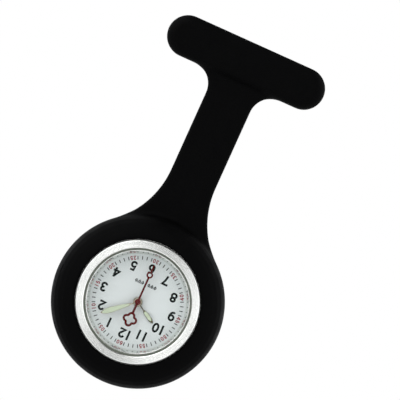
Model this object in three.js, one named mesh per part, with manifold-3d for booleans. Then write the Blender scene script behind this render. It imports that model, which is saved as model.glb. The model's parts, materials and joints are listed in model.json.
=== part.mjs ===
// A nurse's fob watch: a silicone holder with a brooch pin behind its T-bar, hanging a quartz watch upside
// down. Units are millimetres. The part hangs with +Z up and its dial facing -Y. The origin is the middle of
// the T-bar, on the flat back of the silicone, which is the side that lies against the garment.
//
// Two working frames keep the numbers readable:
//   front frame: x to the right, y up, z towards the reader. The back of the silicone is z = 0.
//   watch frame: the front frame turned half a turn about the dial's axis. x is 3 o'clock, y is 12 o'clock.

import * as THREE from "three";
import { mergeVertices } from "three/addons/utils/BufferGeometryUtils.js";
import Module from "manifold-3d";

const wasm = await Module();
wasm.setup();

// ---------------------------------------------------------------- driving dimensions

// Silicone holder
const RING_RADIUS = 20.5; // outside of the pouch that holds the watch
const DIAL_DROP = 62.2; // T-bar's middle to the dial's middle
const STRAP_HALF_WIDTH = 5.75;
const STRAP_DEPTH = 3.2;
const NECK_FILLET = 20.6; // between the strap and the pouch
const BAR_HALF_HEIGHT = 4.85;
const BAR_HALF_LENGTH = 19.95;
const BAR_DEPTH = 5.2;
const BAR_FILLET = 5.5; // between the T-bar and the strap
const POUCH_DEPTH = 9.75;
const FLEX_DROP = 20; // T-bar's middle to the line that the strap bends about
const FLEX_GAP = 0.3;

// Watch head, as radii about the dial's axis and heights above the silicone's back
const CASE_RADIUS = 15.7;
const CASE_BORE = 13.35;
const LIP_RADIUS = 14.8; // the pouch's front opening
const BACK_HOLE_RADIUS = 13.0; // the pouch's rear opening
const BEZEL_RADIUS = 14.72;
const BEZEL_BORE = 12.87;
const BEZEL_TOP = 10.2;
const CRYSTAL_RADIUS = 12.4;
const DIAL_RADIUS = 12.9;
const DIAL_BACK = 5.6;
const DIAL_FACE = 6.0;
const DIAL_HOLE = 1.0;
const DIAL_FEET = [[-4.2, -9.6], [4.2, 9.6]];
const PLATE_RADIUS = 11.6;
const PLATE_BACK = 3.9;
const PLATE_FRONT = 4.6;
const PLATE_RIM = 5.55; // the plate's raised edge, which the dial rests on
const BRIDGE_BACK = 1.85;
const BRIDGE_FRONT = 2.2;

// Lowest and highest point of each thin piece in the watch
const LAYER = {
  batteryClamp: [2.02, 2.2],
  rotorPinion: [2.3, 2.7],
  stepWheel: [2.4, 2.6],
  stepPinion: [2.55, 3.0],
  secondWheel: [2.75, 2.95],
  secondPinion: [2.9, 3.32],
  coilCore: [2.76, 3.04],
  magnet: [3.0, 3.6],
  stator: [3.1, 3.5],
  thirdWheel: [3.05, 3.25],
  thirdPinion: [3.2, 3.75],
  centreWheel: [3.45, 3.65],
  board: [3.68, 3.85],
  chip: [3.05, 3.63],
  levers: [4.66, 4.94],
  cannonTeeth: [4.66, 4.96],
  motionWheels: [4.7, 4.9],
  minutePinion: [4.85, 5.3],
  hourWheel: [5.05, 5.25],
  hourHand: [6.4, 6.6],
  minuteHand: [6.95, 7.15],
  secondHand: [7.5, 7.68],
};

// Time shown at rest, as hand angles clockwise from 12 o'clock
const HOUR_HAND_DEG = 300.5;
const MINUTE_HAND_DEG = 49.7;
const SECOND_HAND_DEG = 180;

// Second hand, as distances from the dial's middle
const EYE_AT = [0, 6.95];
const COUNTER_REACH = 4.45;
const LOBE_OUT = 0.85; // the counterweight's middle to the middle of a lobe
const LOBE_RADIUS = 0.95;
const FRAME_WIDTH = 0.42;

// Winding stem and crown, along 3 o'clock
const STEM_HEIGHT = 4.85;
const STEM_RADIUS = 0.38;
const CROWN_RADIUS = 1.9;
const CROWN_BACK = 15.95;
const CROWN_FRONT = 18.1;
const CROWN_FLUTES = 24;

// Brooch pin
const NEEDLE_HEIGHT = -2.1;
const NEEDLE_RADIUS = 0.4;
const NEEDLE_POINT = 14.3;
const PIVOT_X = -13.2;
const CATCH_X = 13.0;
const BASE_FACE = 0.55; // the face of the pin's base that the cloth lies on
const BASE_THICKNESS = 0.7;
const BASE_HALF_HEIGHT = 2.1;
const BASE_END_X = 13.2; // middle of the round end
const FOOT_BACK = 0.1; // the joint's and the catch's feet stand on the base
const FOOT_HALF_HEIGHT = 1.4;
const JOINT_REACH = 1.7; // from the rivet to the end of the joint's foot
const EAR = [0.6, 1.15]; // inner and outer face of each ear, from the middle
const EAR_RADIUS = 0.85;
const HOOK_BORE = 1.2;
const HOOK_RADIUS = 1.7;
const HOOK_HALF_LENGTH = 0.8;
const SLEEVE_BORE = 0.62;
const SLEEVE_RADIUS = 1.1;
const RECESS_HALF_LENGTH = 15.6;
const RECESS_HALF_HEIGHT = 2.9;
const RECESS_DEPTH = [0.5, 1.3];
const BAND_X = [6.2, 7.4]; // the bands across the recess, on both sides of the middle

// Facets
const ROUND = 36; // rings about the dial's axis
const SMALL = 16; // pipes and crown
const TINY = 10; // arbors, pins and screws
const CLEAR = 0.05; // between pieces that touch

// ---------------------------------------------------------------- finishes

const finish = (color, roughness, metalness, extra = {}) =>
  new THREE.MeshStandardMaterial({ color, roughness, metalness, ...extra });

const silicone = finish(0x0b0b0c, 0.62, 0);
const steel = finish(0xc9c9c4, 0.3, 1);
const polished = finish(0xe2e2de, 0.14, 1);
const nickel = finish(0xb9b7b0, 0.25, 1);
const brass = finish(0xc9a45c, 0.35, 1);
const copper = finish(0xb4622f, 0.4, 1);
const glass = finish(0xf2f6f6, 0.03, 0, { transparent: true, opacity: 0.2 });
const dialPaint = finish(0xd6dedf, 0.5, 0);
const lume = finish(0xcfdcb4, 0.6, 0);
const redLacquer = finish(0xb3121d, 0.35, 0);
const seal = finish(0x4b5049, 0.7, 0);
const spacerPlastic = finish(0xe7e5dc, 0.6, 0);
const plateResin = finish(0x33383c, 0.55, 0);
const boardGreen = finish(0x1f6b45, 0.5, 0);
const chipResin = finish(0x101114, 0.4, 0);

// ---------------------------------------------------------------- solids

/** A closed three.js geometry as a solid whose faces point out. */
function solid(geometry) {
  const bare = geometry.index ? geometry.toNonIndexed() : geometry.clone();
  bare.deleteAttribute("normal");
  bare.deleteAttribute("uv");
  const merged = mergeVertices(bare, 1e-4);
  const corners = merged.index.array;
  const kept = [];
  for (let i = 0; i < corners.length; i += 3) {
    const [a, b, c] = [corners[i], corners[i + 1], corners[i + 2]];
    if (a !== b && b !== c && a !== c) kept.push(a, b, c);
  }
  const build = (triangles) =>
    new wasm.Manifold(
      new wasm.Mesh({
        numProp: 3,
        vertProperties: merged.attributes.position.array,
        triVerts: new Uint32Array(triangles),
      }),
    );
  const made = build(kept);
  return made.volume() > 0 ? made : build(kept.reverse());
}

/** A profile of [radius, height] points turned about the z axis. A ring's profile closes on itself. */
function turned(profile, segments = ROUND) {
  const points = profile.map(([r, h]) => new THREE.Vector2(r, h));
  if (profile[0][0] > 0) points.push(points[0].clone());
  return solid(turnedAboutZ(new THREE.LatheGeometry(points, segments)));
}

const turnedAboutZ = (geometry) => geometry.rotateX(Math.PI / 2);

/** A rod along z from low to high, standing at [x, y]. */
function rod(radius, low, high, at = [0, 0], segments = TINY) {
  const geometry = turnedAboutZ(new THREE.CylinderGeometry(radius, radius, high - low, segments));
  return solid(geometry.translate(at[0], at[1], (low + high) / 2));
}

/** A ring along z with a square section. */
const ring = (inner, outer, low, high, segments = ROUND) =>
  turned([[inner, low], [outer, low], [outer, high], [inner, high]], segments);

/** A profile of [radius, distance] points turned about a line parallel to x, at height z. */
function turnedAlongX(profile, height, segments = TINY) {
  const points = profile.map(([r, h]) => new THREE.Vector2(r, h));
  if (profile[0][0] > 0) points.push(points[0].clone());
  const geometry = new THREE.LatheGeometry(points, segments).rotateZ(-Math.PI / 2);
  return solid(geometry.translate(0, 0, height));
}

/** A rod along y, at [x, z]. */
function crossRod(radius, low, high, at, segments = TINY) {
  const geometry = new THREE.CylinderGeometry(radius, radius, high - low, segments);
  return solid(geometry.translate(at[0], (low + high) / 2, at[1]));
}

/** A block between two limits on each axis. */
function block([x0, x1], [y0, y1], [z0, z1]) {
  const geometry = new THREE.BoxGeometry(x1 - x0, y1 - y0, z1 - z0);
  return solid(geometry.translate((x0 + x1) / 2, (y0 + y1) / 2, (z0 + z1) / 2));
}

/** An outline's corners, from a Shape or a list of [x, y] points, without those that fall together. */
function cornersOf(outline, divisions) {
  const listed = Array.isArray(outline);
  const points = listed ? outline.map((p) => new THREE.Vector2(...p)) : outline.getPoints(divisions);
  return points.filter((p, i) => p.distanceTo(points[(i + 1) % points.length]) > 1e-3);
}

/** An outline (a Shape, or a list of [x, y] points) raised from low to high. */
function prism(outline, low, high, options = {}) {
  const shape = new THREE.Shape(cornersOf(outline, 8));
  const settings = { depth: high - low, bevelEnabled: false, ...options };
  return solid(new THREE.ExtrudeGeometry(shape, settings).translate(0, 0, low));
}

/** The outline raised from z = 0 to depth, with its front edge rounded and its back edge square. */
function pad(outline, depth, round, steps = 2) {
  const buried = 3 * round;
  const rounded = prism(outline, round - buried, depth - round, {
    bevelEnabled: true,
    bevelThickness: round,
    bevelSize: round,
    bevelOffset: -round,
    bevelSegments: steps,
  });
  return rounded.intersect(block([-100, 100], [-100, 100], [0, 100]));
}

/** A strip of constant width along a line of [x, y] points, with round ends. */
function strip(line, width, low, high) {
  let made = null;
  line.forEach(([x, y], i) => {
    const end = rod(width / 2, low, high, [x, y], TINY);
    made = made ? made.add(end) : end;
    if (i === 0) return;
    const [px, py] = line[i - 1];
    const [dx, dy] = [x - px, y - py];
    const length = Math.hypot(dx, dy);
    const [nx, ny] = [(-dy / length) * (width / 2), (dx / length) * (width / 2)];
    made = made.add(
      prism([[px - nx, py - ny], [x - nx, y - ny], [x + nx, y + ny], [px + nx, py + ny]], low, high),
    );
  });
  return made;
}

/** A solid's surface as a three.js geometry. */
function geometryOf(shape) {
  const { vertProperties, triVerts } = shape.getMesh();
  const geometry = new THREE.BufferGeometry();
  geometry.setAttribute("position", new THREE.BufferAttribute(vertProperties, 3));
  geometry.setIndex(new THREE.BufferAttribute(triVerts, 1));
  return geometry;
}

/** A named mesh of a solid. */
function part(name, shape, material) {
  const geometry = geometryOf(shape);
  geometry.computeVertexNormals();
  const mesh = new THREE.Mesh(geometry, material);
  mesh.name = name;
  return mesh;
}

/** The solid turned by an angle in degrees about the z axis. */
function turnedBy(shape, degrees) {
  return solid(geometryOf(shape).rotateZ(THREE.MathUtils.degToRad(degrees)));
}

// ---------------------------------------------------------------- silicone holder

// The neck's fillet arcs meet the strap at this height above the dial's middle, and the pouch further down.
const neckReach = Math.sqrt((RING_RADIUS + NECK_FILLET) ** 2 - (STRAP_HALF_WIDTH + NECK_FILLET) ** 2);
const neckTurn = Math.atan2(neckReach, STRAP_HALF_WIDTH + NECK_FILLET);

/** The T-bar with the upper strap, down to the bend line. */
function upperOutline() {
  const w = STRAP_HALF_WIDTH;
  const cap = BAR_HALF_LENGTH - BAR_HALF_HEIGHT;
  const corner = w + BAR_FILLET;
  const shape = new THREE.Shape();
  shape.moveTo(-w, -FLEX_DROP);
  shape.lineTo(-w, -BAR_HALF_HEIGHT - BAR_FILLET);
  shape.absarc(-corner, -BAR_HALF_HEIGHT - BAR_FILLET, BAR_FILLET, 0, Math.PI / 2, false);
  shape.absarc(-cap, 0, BAR_HALF_HEIGHT, -Math.PI / 2, Math.PI / 2, true);
  shape.absarc(cap, 0, BAR_HALF_HEIGHT, Math.PI / 2, -Math.PI / 2, true);
  shape.absarc(corner, -BAR_HALF_HEIGHT - BAR_FILLET, BAR_FILLET, Math.PI / 2, Math.PI, false);
  shape.lineTo(w, -FLEX_DROP);
  return shape;
}

/** The T-bar alone. */
function barOutline() {
  const cap = BAR_HALF_LENGTH - BAR_HALF_HEIGHT;
  const shape = new THREE.Shape();
  shape.absarc(-cap, 0, BAR_HALF_HEIGHT, Math.PI / 2, -Math.PI / 2, false);
  shape.absarc(cap, 0, BAR_HALF_HEIGHT, -Math.PI / 2, Math.PI / 2, false);
  return shape;
}

/** The lower strap, widening into the pouch, in the front frame. */
function neckOutline() {
  const w = STRAP_HALF_WIDTH;
  const x = w + NECK_FILLET;
  const y = neckReach - DIAL_DROP;
  const shape = new THREE.Shape();
  shape.moveTo(w, -FLEX_DROP - 1);
  shape.lineTo(-w, -FLEX_DROP - 1);
  shape.absarc(-x, y, NECK_FILLET, 0, -neckTurn, true);
  shape.lineTo(-12, -50);
  shape.lineTo(12, -50);
  shape.absarc(x, y, NECK_FILLET, Math.PI + neckTurn, Math.PI, true);
  return shape;
}

function upperHolder() {
  const knuckle = STRAP_DEPTH / 2;
  const strap = pad(upperOutline(), STRAP_DEPTH, 0.7, 1);
  const bar = pad(barOutline(), BAR_DEPTH, 1.8, 3);
  const w = STRAP_HALF_WIDTH;
  const section = [[0, -w], [knuckle, -w], [knuckle, w], [0, w]];
  const roundEnd = turnedAlongX(section, knuckle, SMALL).translate([0, -FLEX_DROP, 0]);
  // The pin's base threads under two bands that stay across the recess.
  const long = RECESS_HALF_LENGTH;
  const tall = [-RECESS_HALF_HEIGHT, RECESS_HALF_HEIGHT];
  const [near, far] = BAND_X;
  const pocket = block([-long, long], tall, RECESS_DEPTH);
  const behind = [-1, RECESS_DEPTH[0] + 0.1];
  const windows = [[-long, -far], [-near, near], [far, long]].map((x) => block(x, tall, behind));
  const whole = strap.add(bar).add(roundEnd);
  return [pocket, ...windows].reduce((left, cut) => left.subtract(cut), whole);
}

function lowerHolder() {
  const outer = [
    [BACK_HOLE_RADIUS, 0], [19.4, 0], [RING_RADIUS, 1.1], [RING_RADIUS, 4.4], [19.9, 6.6], [18.4, 8.6],
    [16.4, 9.6], [15.4, POUCH_DEPTH], [LIP_RADIUS, 9.45], [LIP_RADIUS, 8.45], [15.75, 8.45], [15.75, 1.2],
    [BACK_HOLE_RADIUS, 1.2],
  ];
  const pouch = turned(outer, ROUND).translate([0, -DIAL_DROP, 0]);
  const inside = rod(CASE_RADIUS + CLEAR, -1, 20, [0, -DIAL_DROP], ROUND);
  const socketRadius = STRAP_DEPTH / 2 + FLEX_GAP;
  const wide = 2 * STRAP_HALF_WIDTH;
  const socket = turnedAlongX(
    [[0, -wide], [socketRadius, -wide], [socketRadius, wide], [0, wide]],
    STRAP_DEPTH / 2,
    SMALL,
  ).translate([0, -FLEX_DROP, 0]);
  const crownRoom = turnedAlongX([[0, 14], [2.25, 14], [2.25, 19.5], [0, 19.5]], STEM_HEIGHT, SMALL);
  const neck = pad(neckOutline(), STRAP_DEPTH, 0.7, 1).subtract(inside).subtract(socket);
  return neck.add(pouch).subtract(mirrored(crownRoom).translate([0, -DIAL_DROP, 0]));
}

/** The solid with x turned to -x, by half a turn about z. */
const mirrored = (shape) => turnedBy(shape, 180);

// ---------------------------------------------------------------- brooch pin, in the front frame

function pinBase() {
  const shape = new THREE.Shape();
  shape.absarc(-BASE_END_X, 0, BASE_HALF_HEIGHT, Math.PI / 2, -Math.PI / 2, false);
  shape.absarc(BASE_END_X, 0, BASE_HALF_HEIGHT, -Math.PI / 2, Math.PI / 2, false);
  const plate = prism(shape, BASE_FACE, BASE_FACE + BASE_THICKNESS);
  const holes = [-9.5, 9.5].map((x) => rod(0.6, 0, 2, [x, 0]));
  return holes.reduce((left, hole) => left.subtract(hole), plate);
}

/** A brazed foot that stands on the base. */
const pinFoot = (x0, x1) =>
  block([x0, x1], [-FOOT_HALF_HEIGHT, FOOT_HALF_HEIGHT], [FOOT_BACK, BASE_FACE - CLEAR]);

function pinJoint() {
  const foot = pinFoot(PIVOT_X - JOINT_REACH, PIVOT_X + JOINT_REACH);
  const ear = (side) => {
    const wall = EAR.map((y) => side * y).sort((a, b) => a - b);
    const web = block([PIVOT_X - EAR_RADIUS, PIVOT_X + EAR_RADIUS], wall, [NEEDLE_HEIGHT, 0.2]);
    return web.add(crossRod(EAR_RADIUS, ...wall, [PIVOT_X, NEEDLE_HEIGHT], SMALL));
  };
  const hole = crossRod(0.42, -2, 2, [PIVOT_X, NEEDLE_HEIGHT]);
  return foot.add(ear(-1)).add(ear(1)).subtract(hole);
}

function pinRivet() {
  const at = [PIVOT_X, NEEDLE_HEIGHT];
  const shank = crossRod(0.36, -1.4, 1.4, at);
  return shank.add(crossRod(0.62, 1.2, 1.5, at)).add(crossRod(0.62, -1.5, -1.2, at));
}

function pinNeedle() {
  const eye = crossRod(0.8, -0.5, 0.5, [PIVOT_X, NEEDLE_HEIGHT], SMALL);
  const r = NEEDLE_RADIUS;
  const start = PIVOT_X + 0.5;
  const taper = NEEDLE_POINT - 3.1;
  const profile = [[0, start], [r, start], [r, taper], [0.08, NEEDLE_POINT], [0, NEEDLE_POINT]];
  const wire = turnedAlongX(profile, NEEDLE_HEIGHT);
  return eye.add(wire).subtract(crossRod(0.43, -1, 1, [PIVOT_X, NEEDLE_HEIGHT]));
}

/** A pipe along x round the needle's line, with a slot through its far side that the needle can leave by. */
function slottedPipe(inner, outer, x0, x1, halfSlot) {
  const pipe = turnedAlongX([[inner, x0], [outer, x0], [outer, x1], [inner, x1]], NEEDLE_HEIGHT, SMALL);
  return pipe.subtract(block([x0 - 1, x1 + 1], [-halfSlot, halfSlot], [NEEDLE_HEIGHT - 4, NEEDLE_HEIGHT]));
}

function catchHousing() {
  const along = [CATCH_X - HOOK_HALF_LENGTH, CATCH_X + HOOK_HALF_LENGTH];
  const hook = slottedPipe(HOOK_BORE, HOOK_RADIUS, ...along, SLEEVE_BORE);
  const stalk = block(along, [-0.7, 0.7], [NEEDLE_HEIGHT + 1.45, 0.3]);
  return hook.add(stalk).add(pinFoot(CATCH_X - 1.5, CATCH_X + 1.5));
}

function catchSleeve() {
  const sleeve = slottedPipe(SLEEVE_BORE, SLEEVE_RADIUS, CATCH_X - 1.5, CATCH_X + 1.4, 0.56);
  const collar = slottedPipe(SLEEVE_BORE, 1.5, CATCH_X - 1.5, CATCH_X - 0.9, 0.56);
  const tab = block([CATCH_X - 1.5, CATCH_X - 0.9], [1.2, 1.9], [NEEDLE_HEIGHT - 0.35, NEEDLE_HEIGHT + 0.35]);
  return sleeve.add(collar).add(tab);
}

// ---------------------------------------------------------------- case, in the watch frame

const caseHole = (radius) => turnedAlongX([[0, 8], [radius, 8], [radius, 17], [0, 17]], STEM_HEIGHT, SMALL);

function caseMiddle() {
  const band = turned([
    [14.3, 2.05], [15.5, 2.05], [CASE_RADIUS, 2.3], [CASE_RADIUS, 6.8], [15.5, 7.0], [CASE_BORE, 7.0],
    [CASE_BORE, 3.2], [14.3, 3.2],
  ]);
  return band.subtract(caseHole(1.0));
}

const caseBack = () =>
  turned([
    [0, 0.35], [12.3, 0.35], [12.6, 0.65], [12.6, 1.25], [15.2, 1.25], [15.2, 2.0], [13.9, 2.0], [13.9, 2.95],
    [13.3, 2.95], [13.3, 1.5], [0, 1.5],
  ]);

const caseBackGasket = () =>
  turned([[13.95, 2.35], [14.1, 2.2], [14.25, 2.35], [14.25, 2.75], [14.1, 2.9], [13.95, 2.75]]);

const bezel = () =>
  turned([
    [12.1, 7.4], [13.4, 7.4], [13.4, 7.05], [15.4, 7.05], [15.6, 7.3], [15.6, 8.4], [BEZEL_RADIUS, 8.4],
    [BEZEL_RADIUS, 9.75], [14.35, BEZEL_TOP], [13.1, BEZEL_TOP], [BEZEL_BORE, 10.0], [BEZEL_BORE, 7.95],
    [12.1, 7.95],
  ]);

const crystalGasket = () =>
  turned([
    [12.05, 8.0], [12.82, 8.0], [12.82, 9.7], [12.45, 9.7], [12.45, 8.45], [12.05, 8.45],
  ]);

const crystal = () =>
  turned([[0, 8.5], [CRYSTAL_RADIUS, 8.5], [CRYSTAL_RADIUS, 9.75], [12.1, 10.0], [0, 10.0]]);

/** The sloping ring that hides the dial's edge and holds it down. */
const dialRing = () => turned([[11.4, 6.05], [13.3, 6.05], [13.3, 7.35], [12.05, 7.35]]);

function dial() {
  const disc = ring(DIAL_HOLE, DIAL_RADIUS, DIAL_BACK, DIAL_FACE);
  return DIAL_FEET.reduce((left, at) => left.add(rod(0.35, 4.8, DIAL_BACK + 0.1, at)), disc);
}

/** The plastic ring that centres the movement in the case. */
const movementHolder = () =>
  ring(PLATE_RADIUS + CLEAR, CASE_BORE - CLEAR, 3.3, PLATE_RIM).subtract(caseHole(0.6));

const crownTube = () =>
  turnedAlongX([[0.55, 13.45], [0.95, 13.45], [0.95, 16.6], [0.55, 16.6]], STEM_HEIGHT, SMALL);

const crownGasket = () =>
  turnedAlongX([[1.0, 16.25], [1.24, 16.25], [1.24, 16.6], [1.0, 16.6]], STEM_HEIGHT, SMALL);

function crown() {
  const outline = Array.from({ length: 2 * CROWN_FLUTES }, (_, i) => {
    const r = i % 2 ? CROWN_RADIUS : CROWN_RADIUS - 0.16;
    const turn = (Math.PI * i) / CROWN_FLUTES;
    return [r * Math.cos(turn), r * Math.sin(turn)];
  });
  const knurled = prism(outline, CROWN_BACK, CROWN_FRONT);
  const cap = rod(CROWN_RADIUS - 0.35, CROWN_FRONT - 0.05, CROWN_FRONT + 0.2, [0, 0], SMALL);
  const recess = rod(1.3, CROWN_BACK - 1, CROWN_BACK + 1.25, [0, 0], SMALL);
  const bore = rod(STEM_RADIUS + 0.03, CROWN_BACK + 1, CROWN_BACK + 1.85, [0, 0], SMALL);
  const upright = geometryOf(knurled.add(cap).subtract(recess).subtract(bore));
  return solid(upright.rotateY(Math.PI / 2).translate(0, 0, STEM_HEIGHT));
}

// ---------------------------------------------------------------- hands, in the watch frame

/** A hand drawn pointing at 12, from pairs of [half width, distance along]. */
function handOutline(pairs) {
  const right = pairs.map(([w, y]) => [w, y]);
  const left = pairs.filter(([w]) => w > 0).reverse().map(([w, y]) => [-w, y]);
  return right.concat(left);
}

function hourHand() {
  const [low, high] = LAYER.hourHand;
  const pairs = [[0.12, 0.5], [0.12, 2.45], [0.38, 2.95], [0.5, 3.6], [0.46, 5.3], [0.22, 5.98], [0, 6.2]];
  const hub = rod(1.15, low, high, [0, 0], SMALL);
  const bore = rod(0.89, low - 1, high + 1, [0, 0], SMALL);
  return turnedBy(prism(handOutline(pairs), low, high).add(hub).subtract(bore), -HOUR_HAND_DEG);
}

function minuteHand() {
  const [low, high] = LAYER.minuteHand;
  const pairs = [
    [0.17, 0.3], [0.17, 1.6], [0.3, 2.1], [0.48, 3.8], [0.66, 6.3], [0.6, 7.8], [0.25, 8.85], [0, 9.1],
  ];
  const hub = rod(1.02, low, high, [0, 0], SMALL);
  const bore = rod(0.6, low - 1, high + 1, [0, 0], SMALL);
  return turnedBy(prism(handOutline(pairs), low, high).add(hub).subtract(bore), -MINUTE_HAND_DEG);
}

function secondHand() {
  const [low, high] = LAYER.secondHand;
  const stem = prism(handOutline([[0.17, -3.1], [0.17, 6.3], [0.12, 9.5]]), low, high);
  const eye = rod(0.79, low, high, EYE_AT, SMALL);
  const pupil = rod(0.42, low - 1, high + 1, EYE_AT, SMALL);
  const hollow = prism(quatrefoil(-FRAME_WIDTH), low - 1, high + 1);
  const counter = prism(quatrefoil(0), low, high).subtract(hollow);
  const cap = rod(0.72, low - 0.2, high + 0.17, [0, 0], SMALL);
  const bore = rod(0.18, low - 0.5, high + 0.07);
  return turnedBy(stem.add(eye).add(counter).add(cap).subtract(pupil).subtract(bore), -SECOND_HAND_DEG);
}

/** The edge of the counterweight's four round lobes, or a line inside it. */
function quatrefoil(grow) {
  const notch = (LOBE_OUT + Math.sqrt(2 * LOBE_RADIUS ** 2 - LOBE_OUT ** 2)) / 2;
  const turn = Math.atan2(notch, notch - LOBE_OUT);
  const steps = 6;
  const lobe = Array.from({ length: steps + 1 }, (_, i) => {
    const angle = turn * ((2 * i) / steps - 1);
    return [LOBE_OUT + (LOBE_RADIUS + grow) * Math.cos(angle), (LOBE_RADIUS + grow) * Math.sin(angle)];
  });
  const quarter = (turns) =>
    lobe.map(([x, y]) => {
      const [c, s] = [Math.cos((turns * Math.PI) / 2), Math.sin((turns * Math.PI) / 2)];
      return [c * x - s * y, s * x + c * y - COUNTER_REACH];
    });
  return [0, 1, 2, 3].flatMap(quarter);
}

// ---------------------------------------------------------------- gear train, in the watch frame

/** An axle's place, at a distance and a direction in degrees from another. */
const polar = (distance, degrees, from = [0, 0]) => {
  const turn = THREE.MathUtils.degToRad(degrees);
  return [from[0] + distance * Math.cos(turn), from[1] + distance * Math.sin(turn)];
};

// For each turn of the second hand, the rotor turns 30 times, the minute hand 1/60 and the hour hand 1/720.
const TEETH = {
  rotor: 6, step: 36, stepPinion: 6, second: 30, secondPinion: 6, third: 45, thirdPinion: 6, centre: 48,
  cannon: 10, minuteWheel: 30, minutePinion: 8, hour: 32, setting: 15,
};
const STEP_DISTANCE = 2.5;
const THIRD_DISTANCE = 2.4;
const MOTION_DISTANCE = 2.4;
const ROTOR_DISTANCE = 2.24;
const SETTING_AT = [3.9, 0];
const ARBOR_RADIUS = 0.15;
const ARBOR_BACK = 2.0;
const ARBOR_FRONT = 4.4;
const MAGNET_RADIUS = 1.15;

/** The module of a pair of wheels at that distance. */
const moduleOf = (distance, one, other) => (2 * distance) / (TEETH[one] + TEETH[other]);

const STEP_AT = polar(STEP_DISTANCE, -100);
const THIRD_AT = polar(THIRD_DISTANCE, 100);
const ROTOR_AT = polar(ROTOR_DISTANCE, -90, STEP_AT);
const cannonModule = moduleOf(MOTION_DISTANCE, "cannon", "minuteWheel");
const settingDistance = (cannonModule * (TEETH.minuteWheel + TEETH.setting)) / 2;
const minuteWheelX = (SETTING_AT[0] ** 2 + MOTION_DISTANCE ** 2 - settingDistance ** 2) / (2 * SETTING_AT[0]);
const MINUTE_WHEEL_AT = [minuteWheelX, -Math.sqrt(MOTION_DISTANCE ** 2 - minuteWheelX ** 2)];

// A tooth's tip and root, in modules from the pitch circle, and half its tip's width as a share of the pitch
const TOOTH_TIP = 0.7;
const TOOTH_ROOT = 1.1;
const TIP_SHARE = 0.05;

/** A toothed wheel: each tooth has a flat tip, and the roots are V shaped. */
function toothed(count, module, low, high, at = [0, 0], phase = 0) {
  const pitch = (count * module) / 2;
  const step = (2 * Math.PI) / count;
  const points = [];
  for (let i = 0; i < count; i++) {
    const middle = phase + i * step;
    const tip = pitch + TOOTH_TIP * module;
    const corners = [[tip, -TIP_SHARE], [tip, TIP_SHARE], [pitch - TOOTH_ROOT * module, 0.5]];
    corners.forEach(([r, share]) => {
      points.push(polar(r, THREE.MathUtils.radToDeg(middle + share * step), at));
    });
  }
  return prism(points, low, high);
}

/** The phase that puts a gap of the follower opposite a tooth of the driver. */
function meshedPhase(driverCount, driverPhase, driverAt, count, at) {
  const direction = Math.atan2(at[1] - driverAt[1], at[0] - driverAt[0]);
  const step = (2 * Math.PI) / driverCount;
  const past = (((direction - driverPhase) % step) + step) % step;
  return direction + Math.PI + (past * driverCount) / count + Math.PI / count;
}

const rotorStepModule = moduleOf(ROTOR_DISTANCE, "rotor", "step");
const stepSecondModule = moduleOf(STEP_DISTANCE, "stepPinion", "second");
const secondThirdModule = moduleOf(THIRD_DISTANCE, "secondPinion", "third");
const thirdCentreModule = moduleOf(THIRD_DISTANCE, "thirdPinion", "centre");
const motionModule = moduleOf(MOTION_DISTANCE, "minutePinion", "hour");

function secondWheel() {
  const arbor = rod(ARBOR_RADIUS, ARBOR_BACK, 7.7);
  const wheel = toothed(TEETH.second, stepSecondModule, ...LAYER.secondWheel);
  return arbor.add(wheel).add(toothed(TEETH.secondPinion, secondThirdModule, ...LAYER.secondPinion));
}

function thirdWheel() {
  const wheelPhase = meshedPhase(TEETH.secondPinion, 0, [0, 0], TEETH.third, THIRD_AT);
  const arbor = rod(ARBOR_RADIUS, ARBOR_BACK, ARBOR_FRONT, THIRD_AT);
  const wheel = toothed(TEETH.third, secondThirdModule, ...LAYER.thirdWheel, THIRD_AT, wheelPhase);
  return arbor.add(wheel).add(toothed(TEETH.thirdPinion, thirdCentreModule, ...LAYER.thirdPinion, THIRD_AT));
}

function centreWheel() {
  const phase = meshedPhase(TEETH.thirdPinion, 0, THIRD_AT, TEETH.centre, [0, 0]);
  const wheel = toothed(TEETH.centre, thirdCentreModule, ...LAYER.centreWheel, [0, 0], phase);
  const pipe = rod(0.36, 3.42, 6.2, [0, 0], SMALL);
  return wheel.add(pipe).subtract(rod(0.2, 3, 7, [0, 0], SMALL));
}

function cannonPinion() {
  const teeth = toothed(TEETH.cannon, cannonModule, ...LAYER.cannonTeeth);
  const pipe = rod(0.56, 4.9, 7.25, [0, 0], SMALL);
  return teeth.add(pipe).subtract(rod(0.39, 4, 8, [0, 0], SMALL));
}

const minuteWheelPhase = meshedPhase(TEETH.cannon, 0, [0, 0], TEETH.minuteWheel, MINUTE_WHEEL_AT);

function minuteWheel() {
  const at = MINUTE_WHEEL_AT;
  const wheel = toothed(TEETH.minuteWheel, cannonModule, ...LAYER.motionWheels, at, minuteWheelPhase);
  const pinion = toothed(TEETH.minutePinion, motionModule, ...LAYER.minutePinion, at);
  return wheel.add(pinion).subtract(rod(0.24, 4, 6, at));
}

function hourWheel() {
  const phase = meshedPhase(TEETH.minutePinion, 0, MINUTE_WHEEL_AT, TEETH.hour, [0, 0]);
  const wheel = toothed(TEETH.hour, motionModule, ...LAYER.hourWheel, [0, 0], phase);
  const pipe = rod(0.85, 5.05, 6.7, [0, 0], SMALL);
  return wheel.add(pipe).subtract(rod(0.63, 5, 7, [0, 0], SMALL));
}

function stepWheel() {
  const pinionPhase = meshedPhase(TEETH.second, 0, [0, 0], TEETH.stepPinion, STEP_AT);
  const arbor = rod(ARBOR_RADIUS, ARBOR_BACK, ARBOR_FRONT, STEP_AT);
  const wheel = toothed(TEETH.step, rotorStepModule, ...LAYER.stepWheel, STEP_AT);
  const pinion = toothed(TEETH.stepPinion, stepSecondModule, ...LAYER.stepPinion, STEP_AT, pinionPhase);
  return arbor.add(wheel).add(pinion);
}

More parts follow.
